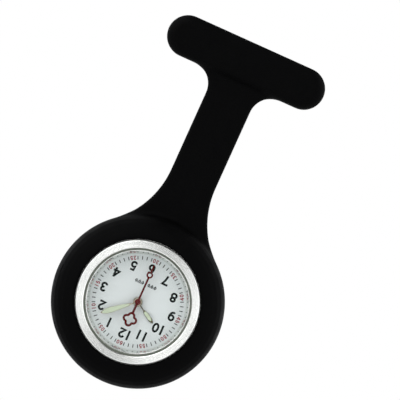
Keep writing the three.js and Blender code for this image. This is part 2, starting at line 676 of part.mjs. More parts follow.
function rotor() {
  const phase = meshedPhase(TEETH.step, 0, STEP_AT, TEETH.rotor, ROTOR_AT);
  const arbor = rod(ARBOR_RADIUS - 0.02, ARBOR_BACK, ARBOR_FRONT, ROTOR_AT);
  const magnet = rod(MAGNET_RADIUS, ...LAYER.magnet, ROTOR_AT, SMALL);
  return arbor.add(magnet).add(toothed(TEETH.rotor, rotorStepModule, ...LAYER.rotorPinion, ROTOR_AT, phase));
}

function settingWheel() {
  const phase = meshedPhase(TEETH.minuteWheel, minuteWheelPhase, MINUTE_WHEEL_AT, TEETH.setting, SETTING_AT);
  const wheel = toothed(TEETH.setting, cannonModule, ...LAYER.motionWheels, SETTING_AT, phase);
  return wheel.subtract(rod(0.24, 4, 6, SETTING_AT));
}

// ---------------------------------------------------------------- movement's fixed pieces

const BATTERY_AT = [-6.9, 2.6];
const BATTERY_RADIUS = 3.4;
const CORE_Y = -8.3;
const CORE_MIDDLE = -0.4;
const CORE_HALF = 5.4;
const PILLARS = [[4.6, 2.2], [-3.2, -4.0], [3.4, -4.0]];
const CORE_SCREW_REACH = 4.7;
const CORE_SCREWS = [-1, 1].map((side) => [CORE_MIDDLE + side * CORE_SCREW_REACH, CORE_Y]);
const BOARD_SCREW = [-2.0, 9.2];
const LEVER_POST = [8.7, -2.5];
const YOKE_POST = [7.2, 2.8];
const CLAMP_SCREW = [-7.4, -2.6];

function mainPlate() {
  const plate = turned([[0, PLATE_BACK], [PLATE_RADIUS, PLATE_BACK], [PLATE_RADIUS, PLATE_RIM],
    [9.6, PLATE_RIM], [9.6, PLATE_FRONT], [0, PLATE_FRONT]]);
  const pillars = PILLARS.map((at) => rod(0.62, BRIDGE_FRONT + CLEAR, PLATE_BACK + 0.1, at));
  const posts = [
    rod(0.19, PLATE_FRONT - 0.1, 5.25, MINUTE_WHEEL_AT),
    rod(0.19, PLATE_FRONT - 0.1, 5.0, SETTING_AT),
    rod(0.3, PLATE_FRONT - 0.1, 5.1, LEVER_POST),
    rod(0.3, PLATE_FRONT - 0.1, 5.1, YOKE_POST),
  ];
  const pivots = [THIRD_AT, STEP_AT, ROTOR_AT].map((at) => rod(0.22, 3, 6, at));
  const cuts = [
    ...pivots,
    rod(0.5, 3, 6, [0, 0], SMALL),
    rod(BATTERY_RADIUS + 0.15, 3, 4.97, BATTERY_AT, SMALL),
    block([4.95, 7.2], [-0.65, 0.65], [4.28, 5]),
    ...DIAL_FEET.map((at) => rod(0.42, 4.7, 6, at)),
    ...PILLARS.map((at) => rod(0.32, 2, 3.5, at)),
    turnedAlongX([[0, 8], [0.5, 8], [0.5, 12], [0, 12]], STEM_HEIGHT),
    turnedAlongX([[0, 4.95], [0.46, 4.95], [0.46, 9], [0, 9]], STEM_HEIGHT),
  ];
  const grown = [...pillars, ...posts].reduce((left, piece) => left.add(piece), plate);
  return cuts.reduce((left, cut) => left.subtract(cut), grown);
}

function trainBridge() {
  const plate = rod(5.9, BRIDGE_BACK, BRIDGE_FRONT, [0.4, -0.9], ROUND / 2);
  const away = rod(BATTERY_RADIUS + 0.35, 1, 3, BATTERY_AT, SMALL);
  const pivots = [[0, 0], THIRD_AT, STEP_AT, ROTOR_AT].map((at) => rod(0.22, 1, 3, at));
  const screws = PILLARS.map((at) => rod(0.34, 1, 3, at));
  return [away, ...pivots, ...screws].reduce((left, cut) => left.subtract(cut), plate);
}

const HEAD_THICKNESS = 0.22;
const SLOT_HALF_WIDTH = 0.09;
const SLOT_FLOOR = 0.12; // what the slot leaves of the head

/** A slotted screw whose head lies behind a plate at height under, with its shank going forward. */
function screw(at, under, length, headRadius = 0.62, shankRadius = 0.26) {
  const head = rod(headRadius, under - HEAD_THICKNESS, under, at);
  const across = [at[1] - SLOT_HALF_WIDTH, at[1] + SLOT_HALF_WIDTH];
  const slot = block([at[0] - 1, at[0] + 1], across, [under - 1, under - SLOT_FLOOR]);
  return head.add(rod(shankRadius, under - 0.1, under + length, at)).subtract(slot);
}

const STATOR_RADIUS = 1.9;
const STATOR_BORE = 1.35;
const STATOR_LEG_WIDTH = 1.3;

function stator() {
  const [low, high] = LAYER.stator;
  const body = rod(STATOR_RADIUS, low, high, ROTOR_AT, SMALL);
  const legs = [-1, 1].map((side) => {
    const x = CORE_MIDDLE + side * CORE_SCREW_REACH;
    const start = [ROTOR_AT[0] + side * 1.2, ROTOR_AT[1] - 0.3];
    return strip([start, [x, CORE_Y + 2.2], [x, CORE_Y]], STATOR_LEG_WIDTH, low, high);
  });
  const holes = CORE_SCREWS.map((at) => rod(0.32, 3, 4, at));
  const bore = rod(STATOR_BORE, 3, 4, ROTOR_AT, SMALL);
  const whole = legs.reduce((left, leg) => left.add(leg), body).subtract(bore);
  return holes.reduce((left, hole) => left.subtract(hole), whole);
}

function coilCore() {
  const length = [CORE_MIDDLE - CORE_HALF, CORE_MIDDLE + CORE_HALF];
  const bar = block(length, [CORE_Y - 0.55, CORE_Y + 0.55], LAYER.coilCore);
  return CORE_SCREWS.reduce((left, at) => left.subtract(rod(0.32, 2, 4, at)), bar);
}

function coil() {
  const ends = 3.7;
  const winding = [[0.66, -ends], [0.95, -ends], [0.95, -ends + 0.3], [0.82, -ends + 0.3], [0.82, ends - 0.3],
    [0.95, ends - 0.3], [0.95, ends], [0.66, ends]];
  return turnedAlongX(winding, 2.9, SMALL).translate([CORE_MIDDLE, CORE_Y, 0]);
}

function circuitBoard() {
  const outline = [[-3.0, 5.9], [8.3, 5.9], [7.4, 7.6], [5.0, 9.2], [1.5, 10.3], [-2.0, 10.2], [-3.0, 9.9]];
  return prism(outline, ...LAYER.board).subtract(rod(0.34, 3, 4, BOARD_SCREW));
}

const chip = () => block([-1.2, 1.1], [6.6, 8.6], LAYER.chip);

/** The tuning fork crystal's can, lying across the board. */
function quartzCan() {
  const profile = [[0, 2.4], [0.5, 2.4], [0.68, 2.6], [0.68, 7.0], [0.5, 7.2], [0, 7.2]];
  return turnedAlongX(profile, 2.94).translate([0, 7.0, 0]);
}

const battery = () =>
  turned([[0, 2.3], [2.5, 2.3], [2.6, 2.45], [3.25, 2.45], [BATTERY_RADIUS, 2.6], [BATTERY_RADIUS, 4.8],
    [3.3, 4.9], [0, 4.9]], SMALL).translate([...BATTERY_AT, 0]);

function batteryClamp() {
  const spring = strip([CLAMP_SCREW, [-6.9, 0.4], [-6.6, 3.2]], 1.5, ...LAYER.batteryClamp);
  return spring.subtract(rod(0.34, 1, 3, CLAMP_SCREW));
}

// ---------------------------------------------------------------- winding stem and its levers

const LEVER_GROOVE = [8.0, 8.6]; // the neck of the stem that the setting lever holds

function stem() {
  const r = STEM_RADIUS;
  const profile = [
    [0, 5.0], [0.2, 5.0], [0.2, 7.4], [r, 7.4], [r, LEVER_GROOVE[0]], [0.2, LEVER_GROOVE[0]],
    [0.2, LEVER_GROOVE[1]], [r, LEVER_GROOVE[1]], [r, 17.75], [0, 17.75],
  ];
  return turnedAlongX(profile, STEM_HEIGHT);
}

/** Slides along the stem and turns with it. Its inner end has teeth that reach the setting wheel. */
function slidingPinion() {
  const [inner, neck, outer] = [5.75, 6.35, 7.1];
  const profile = [
    [0.26, inner], [0.5, inner], [0.5, neck], [0.32, neck], [0.32, neck + 0.4], [0.5, neck + 0.4],
    [0.5, outer], [0.26, outer],
  ];
  let pinion = turnedAlongX(profile, STEM_HEIGHT, SMALL);
  for (let i = 0; i < 3; i++) {
    const gap = solid(
      new THREE.BoxGeometry(0.2, 1.4, 0.16).rotateX((i * Math.PI) / 3).translate(inner, 0, STEM_HEIGHT),
    );
    pinion = pinion.subtract(gap);
  }
  return pinion;
}

function settingLever() {
  const [low, high] = LAYER.levers;
  const [x, y] = LEVER_POST;
  const tip = [(LEVER_GROOVE[0] + LEVER_GROOVE[1]) / 2, -0.36];
  const arm = strip([[x - 1.5, y - 0.9], [x, y], tip], 0.8, low, high);
  const finger = strip([[tip[0], -0.9], tip], 0.24, low, high);
  const clear = block([7, 10], [-0.6, 1], [4, 6]);
  return arm.subtract(clear).add(finger).subtract(rod(0.36, 4, 6, LEVER_POST));
}

function yoke() {
  const [low, high] = LAYER.levers;
  const [x, y] = YOKE_POST;
  const tip = [6.55, 0.48];
  const arm = strip([[x + 0.6, y + 1.3], [x, y], [6.3, 1.2]], 0.8, low, high);
  const finger = strip([[6.4, 1.1], tip], 0.22, low, high);
  return arm.add(finger).subtract(rod(0.36, 4, 6, YOKE_POST));
}

// ---------------------------------------------------------------- assembly

/** Adds a named mesh for each row of [name, solid, finish] to a group. */
function fill(group, rows) {
  rows.forEach(([name, shape, material]) => group.add(part(name, shape, material)));
  return group;
}

const holder = fill(new THREE.Group(), [
  ["holder_upper", upperHolder(), silicone],
  ["holder_lower", lowerHolder(), silicone],
]);

const pin = fill(new THREE.Group(), [
  ["pin_base", pinBase(), nickel],
  ["pin_joint", pinJoint(), nickel],
  ["pin_rivet", pinRivet(), nickel],
  ["pin_needle", pinNeedle(), steel],
  ["catch_housing", catchHousing(), nickel],
  ["catch_sleeve", catchSleeve(), nickel],
]);

const watch = fill(new THREE.Group(), [
  ["case_middle", caseMiddle(), steel],
  ["case_back", caseBack(), steel],
  ["case_back_gasket", caseBackGasket(), seal],
  ["bezel", bezel(), steel],
  ["crystal_gasket", crystalGasket(), seal],
  ["crystal", crystal(), glass],
  ["dial_ring", dialRing(), polished],
  ["dial", dial(), dialPaint],
  ["hour_hand", hourHand(), lume],
  ["minute_hand", minuteHand(), lume],
  ["second_hand", secondHand(), redLacquer],
  ["crown_tube", crownTube(), steel],
  ["crown_gasket", crownGasket(), seal],
  ["crown", crown(), polished],
  ["movement_holder", movementHolder(), spacerPlastic],
]);

const movement = fill(new THREE.Group(), [
  ["main_plate", mainPlate(), plateResin],
  ["train_bridge", trainBridge(), plateResin],
  ...PILLARS.map((at, i) => [`bridge_screw_${i + 1}`, screw(at, BRIDGE_BACK - 0.03, 1.5), steel]),
  ...CORE_SCREWS.map((at, i) => [`coil_screw_${i + 1}`, screw(at, 2.73, 0.9, 0.5), steel]),
  ["board_screw", screw(BOARD_SCREW, 3.65, 0.2, 0.55), steel],
  ["clamp_screw", screw(CLAMP_SCREW, 1.99, 1.8), steel],
  ["second_wheel", secondWheel(), brass],
  ["third_wheel", thirdWheel(), brass],
  ["centre_wheel", centreWheel(), brass],
  ["cannon_pinion", cannonPinion(), brass],
  ["minute_wheel", minuteWheel(), brass],
  ["hour_wheel", hourWheel(), brass],
  ["step_wheel", stepWheel(), brass],
  ["rotor", rotor(), steel],
  ["setting_wheel", settingWheel(), brass],
  ["stator", stator(), nickel],
  ["coil_core", coilCore(), nickel],
  ["coil", coil(), copper],
  ["circuit_board", circuitBoard(), boardGreen],
  ["chip", chip(), chipResin],
  ["quartz_can", quartzCan(), polished],
  ["battery", battery(), polished],
  ["battery_clamp", batteryClamp(), nickel],
  ["stem", stem(), steel],
  ["sliding_pinion", slidingPinion(), steel],
  ["setting_lever", settingLever(), steel],
  ["yoke", yoke(), steel],
]);

watch.add(movement);
watch.position.y = -DIAL_DROP;
watch.rotation.z = Math.PI;

const fob = new THREE.Group();
fob.add(holder, pin, watch);
fob.rotation.x = Math.PI / 2;

export default fob;
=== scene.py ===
"""A nurse's fob watch: a black silicone holder with a brooch pin, and a small quartz watch upside down in it.

Sizes are in millimetres in one of two drawing frames, and every mesh is placed in the part's own frame in
metres: +Z up, the dial facing -Y, the origin in the middle of the T-bar on the flat back of the silicone.
"""

import json
import logging
import math
from collections.abc import Sequence
from dataclasses import dataclass
from enum import Enum
from functools import cache

import bpy
import numpy as np
from mathutils import Matrix, Vector
from mathutils.geometry import tessellate_polygon


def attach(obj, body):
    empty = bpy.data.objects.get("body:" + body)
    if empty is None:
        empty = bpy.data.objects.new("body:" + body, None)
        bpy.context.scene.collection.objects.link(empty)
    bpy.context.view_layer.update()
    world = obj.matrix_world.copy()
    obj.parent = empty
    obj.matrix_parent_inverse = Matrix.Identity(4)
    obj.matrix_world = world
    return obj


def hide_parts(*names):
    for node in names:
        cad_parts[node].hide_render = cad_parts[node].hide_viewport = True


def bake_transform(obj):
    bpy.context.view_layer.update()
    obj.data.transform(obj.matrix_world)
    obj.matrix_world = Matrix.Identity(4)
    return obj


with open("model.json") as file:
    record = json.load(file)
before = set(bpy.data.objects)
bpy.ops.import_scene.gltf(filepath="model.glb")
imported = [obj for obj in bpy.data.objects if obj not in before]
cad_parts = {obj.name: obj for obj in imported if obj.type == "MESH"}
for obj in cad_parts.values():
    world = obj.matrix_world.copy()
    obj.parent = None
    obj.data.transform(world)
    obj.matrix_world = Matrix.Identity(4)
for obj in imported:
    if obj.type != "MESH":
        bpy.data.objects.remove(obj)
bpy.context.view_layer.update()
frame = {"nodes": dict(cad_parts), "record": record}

LOG = logging.getLogger("fob_watch")
MM = 0.001
DIAL_DROP = 62.2  # T-bar's middle to the dial's middle

ROUNDING_SHARE = 0.45  # the most of an edge that one rounding takes
INSET_MITRE = 0.5  # the least share of a mitre's length, at an outline's sharpest corners
STROKE_MITRE = 0.55  # the same for a printed stroke
FULL_TURN = 360.0

Point = tuple[float, float]
Place = tuple[float, float, float]
Loop = list[Point]
Profile = tuple[Point, ...]
Colour = tuple[float, float, float]


# ---------------------------------------------------------------- shapes


class Drawing(Enum):
    """A frame that sizes are drawn in: z is towards the reader, from the silicone's flat back."""

    FRONT = "x to the right, y up, from the T-bar's middle"
    WATCH = "x to 3 o'clock, y to 12 o'clock, from the dial's middle"

    def to_part(self, points: np.ndarray) -> np.ndarray:
        """Places drawn points in the part's frame.

        Args:
            points: rows of x, y, z in millimetres.

        Returns:
            Rows of X, Y, Z in metres.
        """
        x, y, z = points.T
        if self is Drawing.WATCH:
            x, y = -x, -y - DIAL_DROP
        return np.column_stack([x, -z, y]) * MM


@dataclass
class Shape:
    """Points and faces of one or more closed surfaces, in millimetres."""

    points: np.ndarray
    faces: list[tuple[int, ...]]

    def __add__(self, other: "Shape") -> "Shape":
        """Both shapes as one.

        Args:
            other: the shape to add.

        Returns:
            The whole.
        """
        shift = len(self.points)
        faces = self.faces + [tuple(i + shift for i in f) for f in other.faces]
        return Shape(np.vstack([self.points, other.points]), faces)

    def moved(self, x: float = 0, y: float = 0, z: float = 0) -> "Shape":
        """The shape carried along each axis."""
        return Shape(self.points + np.array([x, y, z]), self.faces)

    def turned(self, degrees: float, axis: str = "Z") -> "Shape":
        """The shape turned about an axis through the origin."""
        spin = np.array(Matrix.Rotation(math.radians(degrees), 3, axis))
        return Shape(self.points @ spin.T, self.faces)


def combined(shapes: list[Shape]) -> Shape:
    """All the shapes as one.

    Args:
        shapes: the shapes, at least one.

    Returns:
        The whole.
    """
    whole = shapes[0]
    for shape in shapes[1:]:
        whole = whole + shape
    return whole


def eased(profile: Sequence[Point], radius: float, steps: int = 3, closed: bool = True) -> Loop:
    """Rounds the corners of a profile.

    Args:
        profile: the corners in order.
        radius: how far from each corner the rounding starts, less where an edge is short.
        steps: points along each rounding, less one.
        closed: whether the last corner joins the first.

    Returns:
        The rounded profile.
    """
    corners = [Vector(p) for p in profile]
    made: Loop = []
    for i, corner in enumerate(corners):
        if not closed and i in (0, len(corners) - 1):
            made.append((corner.x, corner.y))
            continue
        before, after = corners[i - 1], corners[(i + 1) % len(corners)]
        back, ahead = before - corner, after - corner
        reach = min(radius, ROUNDING_SHARE * back.length, ROUNDING_SHARE * ahead.length)
        start, end = corner + back.normalized() * reach, corner + ahead.normalized() * reach
        for k in range(steps + 1):
            t = k / steps
            p = start * (1 - t) ** 2 + corner * 2 * t * (1 - t) + end * t * t
            made.append((p.x, p.y))
    return made


def lathe(
    profile: Sequence[Point], segments: int = 160, sweep: float = FULL_TURN, start: float = 0.0
) -> Shape:
    """Turns a profile of (radius, height) about the z axis.

    Args:
        profile: a closed loop, or a line that starts and ends on the axis, with its inside on the left.
        segments: steps of the turn.
        sweep: degrees turned; less than 360 leaves a slot, closed by two end faces.
        start: direction in degrees of the first step.

    Returns:
        The turned shape.
    """
    on_axis = profile[0][0] == 0
    whole = sweep >= FULL_TURN
    count = segments if whole else segments + 1
    points: list[Place] = []
    index: list[list[int]] = []
    for r, h in profile:
        if r == 0:
            index.append([len(points)] * count)
            points.append((0.0, 0.0, h))
            continue
        index.append(list(range(len(points), len(points) + count)))
        for k in range(count):
            a = math.radians(start + sweep * k / segments)
            points.append((r * math.cos(a), r * math.sin(a), h))
    faces: list[tuple[int, ...]] = []
    rows = len(profile) - 1 if on_axis else len(profile)
    for i in range(rows):
        low, high = index[i], index[(i + 1) % len(profile)]
        for k in range(segments):
            n = (k + 1) % count
            ring = [low[k], low[n], high[n], high[k]]
            kept = tuple(dict.fromkeys(ring))
            if len(kept) > 2:
                faces.append(kept)
    if not whole:
        faces.append(tuple(row[0] for row in index))
        faces.append(tuple(row[-1] for row in reversed(index)))
    return Shape(np.array(points, float), faces)


def inset(loop: Sequence[Point], distance: float) -> Loop:
    """The loop moved to its left by a distance, with its corners mitred.

    Args:
        loop: the outline's corners.
        distance: how far it moves, less than 0 for its right.

    Returns:
        The moved outline.
    """
    made: Loop = []
    for i, here in enumerate(loop):
        p, q, r = Vector(loop[i - 1]), Vector(here), Vector(loop[(i + 1) % len(loop)])
        one, two = (q - p).normalized(), (r - q).normalized()
        left = Vector((-one.y - two.y, one.x + two.x))
        if left.length < 1e-6:
            left = Vector((-one.y, one.x))
        left.normalize()
        share = max(INSET_MITRE, left.dot(Vector((-one.y, one.x))))
        moved = q + left * (distance / share)
        made.append((moved.x, moved.y))
    return made


def area_of(loop: Loop) -> float:
    """The loop's area, positive when it runs anticlockwise."""
    return sum(a[0] * b[1] - b[0] * a[1] for a, b in zip(loop, loop[1:] + loop[:1])) / 2


def slab(loops: list[Loop], low: float, high: float, chamfer: float = 0.0) -> Shape:
    """Raises outlines into a plate.

    Args:
        loops: the outer outline first, then any holes.
        low: height of the back face.
        high: height of the front face.
        chamfer: width of the slope round the front face.

    Returns:
        The plate.
    """
    fixed = []
    for i, loop in enumerate(loops):
        anticlockwise = area_of(loop) > 0
        fixed.append(list(loop) if anticlockwise == (i == 0) else list(reversed(loop)))
    layers = [(low, 0.0), (high - chamfer, 0.0), (high, chamfer)] if chamfer else [(low, 0.0), (high, 0.0)]
    points: list[Place] = []
    faces: list[tuple[int, ...]] = []
    caps: list[list[list[int]]] = [[] for _ in layers]
    for loop in fixed:
        rings = []
        for k, (z, back) in enumerate(layers):
            moved = inset(loop, back) if back else loop
            ring = list(range(len(points), len(points) + len(moved)))
            points += [(x, y, z) for x, y in moved]
            rings.append(ring)
            caps[k].append(ring)
        for one, two in zip(rings, rings[1:]):
            for i in range(len(one)):
                n = (i + 1) % len(one)
                faces.append((one[i], one[n], two[n], two[i]))
    for rings, flip in ((caps[0], True), (caps[-1], False)):
        flat = [i for ring in rings for i in ring]
        for tri in tessellate_polygon([[Vector(points[i]) for i in ring] for ring in rings]):
            a, b, c = (flat[k] for k in tri)
            (ax, ay, _), (bx, by, _), (cx, cy, _) = points[a], points[b], points[c]
            up = (bx - ax) * (cy - ay) - (by - ay) * (cx - ax) > 0
            faces.append((a, b, c) if up != flip else (a, c, b))
    return Shape(np.array(points, float), faces)


def circle(radius: float, x: float = 0.0, y: float = 0.0, count: int = 48) -> Loop:
    """A round outline."""
    turns = [2 * math.pi * k / count for k in range(count)]
    return [(x + radius * math.cos(a), y + radius * math.sin(a)) for a in turns]


def arc(x: float, y: float, rx: float, ry: float, start: float, end: float, count: int = 20) -> Loop:
    """Points along part of an ellipse, between two directions in degrees."""
    turns = [math.radians(start + (end - start) * k / count) for k in range(count + 1)]
    return [(x + rx * math.cos(a), y + ry * math.sin(a)) for a in turns]


def ribbon(line: Loop, width: float) -> Loop:
    """The outline of a stroke of constant width with square ends.

    Args:
        line: the stroke's middle.
        width: its width.

    Returns:
        The outline.
    """
    left: Loop = []
    right: Loop = []
    for i, here in enumerate(line):
        p, q, r = Vector(line[max(i - 1, 0)]), Vector(here), Vector(line[min(i + 1, len(line) - 1)])
        one = (q - p).normalized() if i else (r - q).normalized()
        two = (r - q).normalized() if i < len(line) - 1 else one
        side = Vector((-one.y - two.y, one.x + two.x)).normalized()
        share = max(STROKE_MITRE, side.dot(Vector((-one.y, one.x))))
        reach = side * (width / 2 / share)
        left.append(tuple(q + reach))
        right.append(tuple(q - reach))
    return right + left[::-1]


def polar(radius: float, clock: float) -> Point:
    """A place on the dial, by its distance from the middle and its degrees clockwise from 12."""
    a = math.radians(clock)
    return radius * math.sin(a), radius * math.cos(a)


def stadium(half_straight: float, radius: float, count: int) -> Loop:
    """An outline with straight long sides and round ends."""
    right = arc(half_straight, 0, radius, radius, -90, 90, count)
    return right + arc(-half_straight, 0, radius, radius, 90, 270, count)


def rectangle(x0: float, x1: float, half_height: float) -> Loop:
    """A rectangle that is the same above and below the x axis."""
    return [(x0, -half_height), (x1, -half_height), (x1, half_height), (x0, half_height)]


def on_dial(loop: Loop, x: float, y: float, turn: float = 0.0) -> Loop:
    """The loop turned clockwise by some degrees and carried to a place."""
    c, s = math.cos(math.radians(-turn)), math.sin(math.radians(-turn))
    return [(x + c * px - s * py, y + s * px + c * py) for px, py in loop]


# ---------------------------------------------------------------- moulded form


@dataclass
class Moulding:
    """A soft form held as distances on a grid, so that its pieces run into each other with round fillets.

    Distances are negative inside.
    """

    low: Place
    high: Place
    pitch: float
    table_step: float = 0.1  # between the radii at which a turned profile is measured

    def __post_init__(self) -> None:
        """Lays out the grid."""
        self.axes = [np.arange(a, b + self.pitch, self.pitch) for a, b in zip(self.low, self.high)]
        self.x, self.y, self.z = np.meshgrid(*self.axes, indexing="ij", sparse=True)

    def plan(self, loop: Loop) -> np.ndarray:
        """The distance of each place in plan from an outline.

        Args:
            loop: the outline, in x and y.

        Returns:
            A grid with one layer.
        """
        x, y = np.meshgrid(self.axes[0], self.axes[1], indexing="ij")
        return distance_to(loop, x, y)[:, :, None]

    def plate(self, across: np.ndarray, low: float, high: float, front: float, back: float) -> np.ndarray:
        """A plate with round edges.

        Args:
            across: the distance in plan from the plate's outline.
            low: its back face.
            high: its front face.
            front: radius of the front edge.
            back: radius of the back edge.

        Returns:
            The distance from the plate.
        """
        middle = (low + high) / 2
        radius = np.where(self.z > middle, front, back)
        side = across + radius
        cap = np.abs(self.z - middle) - (high - low) / 2 + radius
        outside = np.sqrt(np.maximum(side, 0) ** 2 + np.maximum(cap, 0) ** 2)
        return np.minimum(np.maximum(side, cap), 0) + outside - radius

    def turned(self, profile: Sequence[Point], y: float) -> np.ndarray:
        """A profile of (radius, height) turned about a line along z.

        Args:
            profile: the closed profile.
            y: where the line stands.

        Returns:
            The distance from the turned form.
        """
        r = np.hypot(self.axes[0][:, None], self.axes[1][None, :] - y)
        steps = np.arange(0, float(r.max()) + 2 * self.table_step, self.table_step)
        table = distance_to(profile, *np.meshgrid(steps, self.axes[2], indexing="ij"))
        place = r / self.table_step
        first = place.astype(int)
        share = (place - first)[:, :, None]
        return table[first] * (1 - share) + table[first + 1] * share

    def surface(self, distance: np.ndarray) -> Shape:
        """The form's skin, by one point in each cell that the skin crosses.

        Args:
            distance: the form's distances.

        Returns:
            The skin.
        """
        inside = distance < 0
        corners = [(i, j, k) for i in (0, 1) for j in (0, 1) for k in (0, 1)]
        nx, ny, nz = (n - 1 for n in distance.shape)

        def cell(c: tuple[int, int, int]) -> tuple[slice, slice, slice]:
            """The grid seen from one corner of each cell."""
            return slice(c[0], c[0] + nx), slice(c[1], c[1] + ny), slice(c[2], c[2] + nz)

        filled = sum(inside[cell(c)].astype(np.int8) for c in corners)
        crossed = (filled > 0) & (filled < 8)
        where = np.argwhere(crossed)
        number = np.full(crossed.shape, -1, int)
        number[crossed] = np.arange(len(where))
        total = np.zeros((len(where), 3))
        hits = np.zeros(len(where))
        for a in corners:
            for axis in range(3):
                if a[axis]:
                    continue
                b = tuple(c + (n == axis) for n, c in enumerate(a))
                da, db = distance[cell(a)][crossed], distance[cell(b)][crossed]
                cut = (da < 0) != (db < 0)
                share = np.where(cut, da / np.where(cut, da - db, 1), 0)
                spot = np.tile(np.array(a, float), (len(where), 1))
                spot[:, axis] += share
                total[cut] += spot[cut]
                hits[cut] += 1
        points = np.array(self.low) + (where + total / hits[:, None]) * self.pitch
        faces: list[tuple[int, ...]] = []
        for axis in range(3):
            u, v = (axis + 1) % 3, (axis + 2) % 3
            ahead = np.roll(inside, -1, axis)
            edges = inside != ahead
            edge_slice = [slice(1, -1)] * 3
            edge_slice[axis] = slice(0, -1)
            keep = np.zeros_like(edges)
            keep[tuple(edge_slice)] = edges[tuple(edge_slice)]
            for spot in np.argwhere(keep):
                around = []
                for du, dv in ((-1, -1), (0, -1), (0, 0), (-1, 0)):
                    c = spot.copy()
                    c[u] += du
                    c[v] += dv
                    around.append(int(number[tuple(c)]))
                faces.append(tuple(around) if inside[tuple(spot)] else tuple(reversed(around)))
        return Shape(points, faces)


def distance_to(loop: Sequence[Point], x: np.ndarray, y: np.ndarray) -> np.ndarray:
    """The distance of places from a closed outline, negative inside.

    Args:
        loop: the outline.
        x: the places' x.
        y: their y.

    Returns:
        The distances.
    """
    near = np.full(x.shape, np.inf)
    crossings = np.zeros(x.shape, bool)
    for (ax, ay), (bx, by) in zip(loop, loop[1:] + loop[:1]):
        dx, dy = bx - ax, by - ay
        length = dx * dx + dy * dy
        if length < 1e-12:
            continue
        t = np.clip(((x - ax) * dx + (y - ay) * dy) / length, 0, 1)
        near = np.minimum(near, (x - ax - t * dx) ** 2 + (y - ay - t * dy) ** 2)
        if ay != by:
            spans = (ay > y) != (by > y)
            crossings ^= spans & (x < ax + (y - ay) * dx / dy)
    return np.where(crossings, -1, 1) * np.sqrt(near)


def joined(a: np.ndarray, b: np.ndarray, fillet: float) -> np.ndarray:
    """Two forms run together, with a fillet where they meet."""
    share = np.clip(0.5 + 0.5 * (b - a) / fillet, 0, 1)
    return b * (1 - share) + a * share - fillet * share * (1 - share)


def cut(a: np.ndarray, b: np.ndarray, fillet: float) -> np.ndarray:
    """The first form with the second taken out, with a soft edge."""
    return -joined(-a, b, fillet)


# ---------------------------------------------------------------- finishes


NOISE_SPREAD = (0.3, 0.7)  # where a noise texture's values mostly lie


def node(
    tree: bpy.types.NodeTree, kind: str, inputs: dict[str | int, object] | None = None, **settings: object
) -> bpy.types.Node:
    """Adds a node to a material or a world.

    Args:
        tree: the node tree.
        kind: the node's type, less the words ShaderNode.
        inputs: what each input holds: a value, or the socket that feeds it.
        settings: the node's own settings.

    Returns:
        The node.
    """
    made = tree.nodes.new(f"ShaderNode{kind}")
    for name, value in settings.items():
        setattr(made, name, value)
    for name, value in (inputs or {}).items():
        if isinstance(value, bpy.types.NodeSocket):
            tree.links.new(value, made.inputs[name])
        else:
            made.inputs[name].default_value = value
    return made


class Grain(Enum):
    """The way a surface's fine texture runs."""

    FINE = "even in all directions"
    TURNED = "in rings about the dial's axis"
    DRAWN = "in lines along the T-bar"


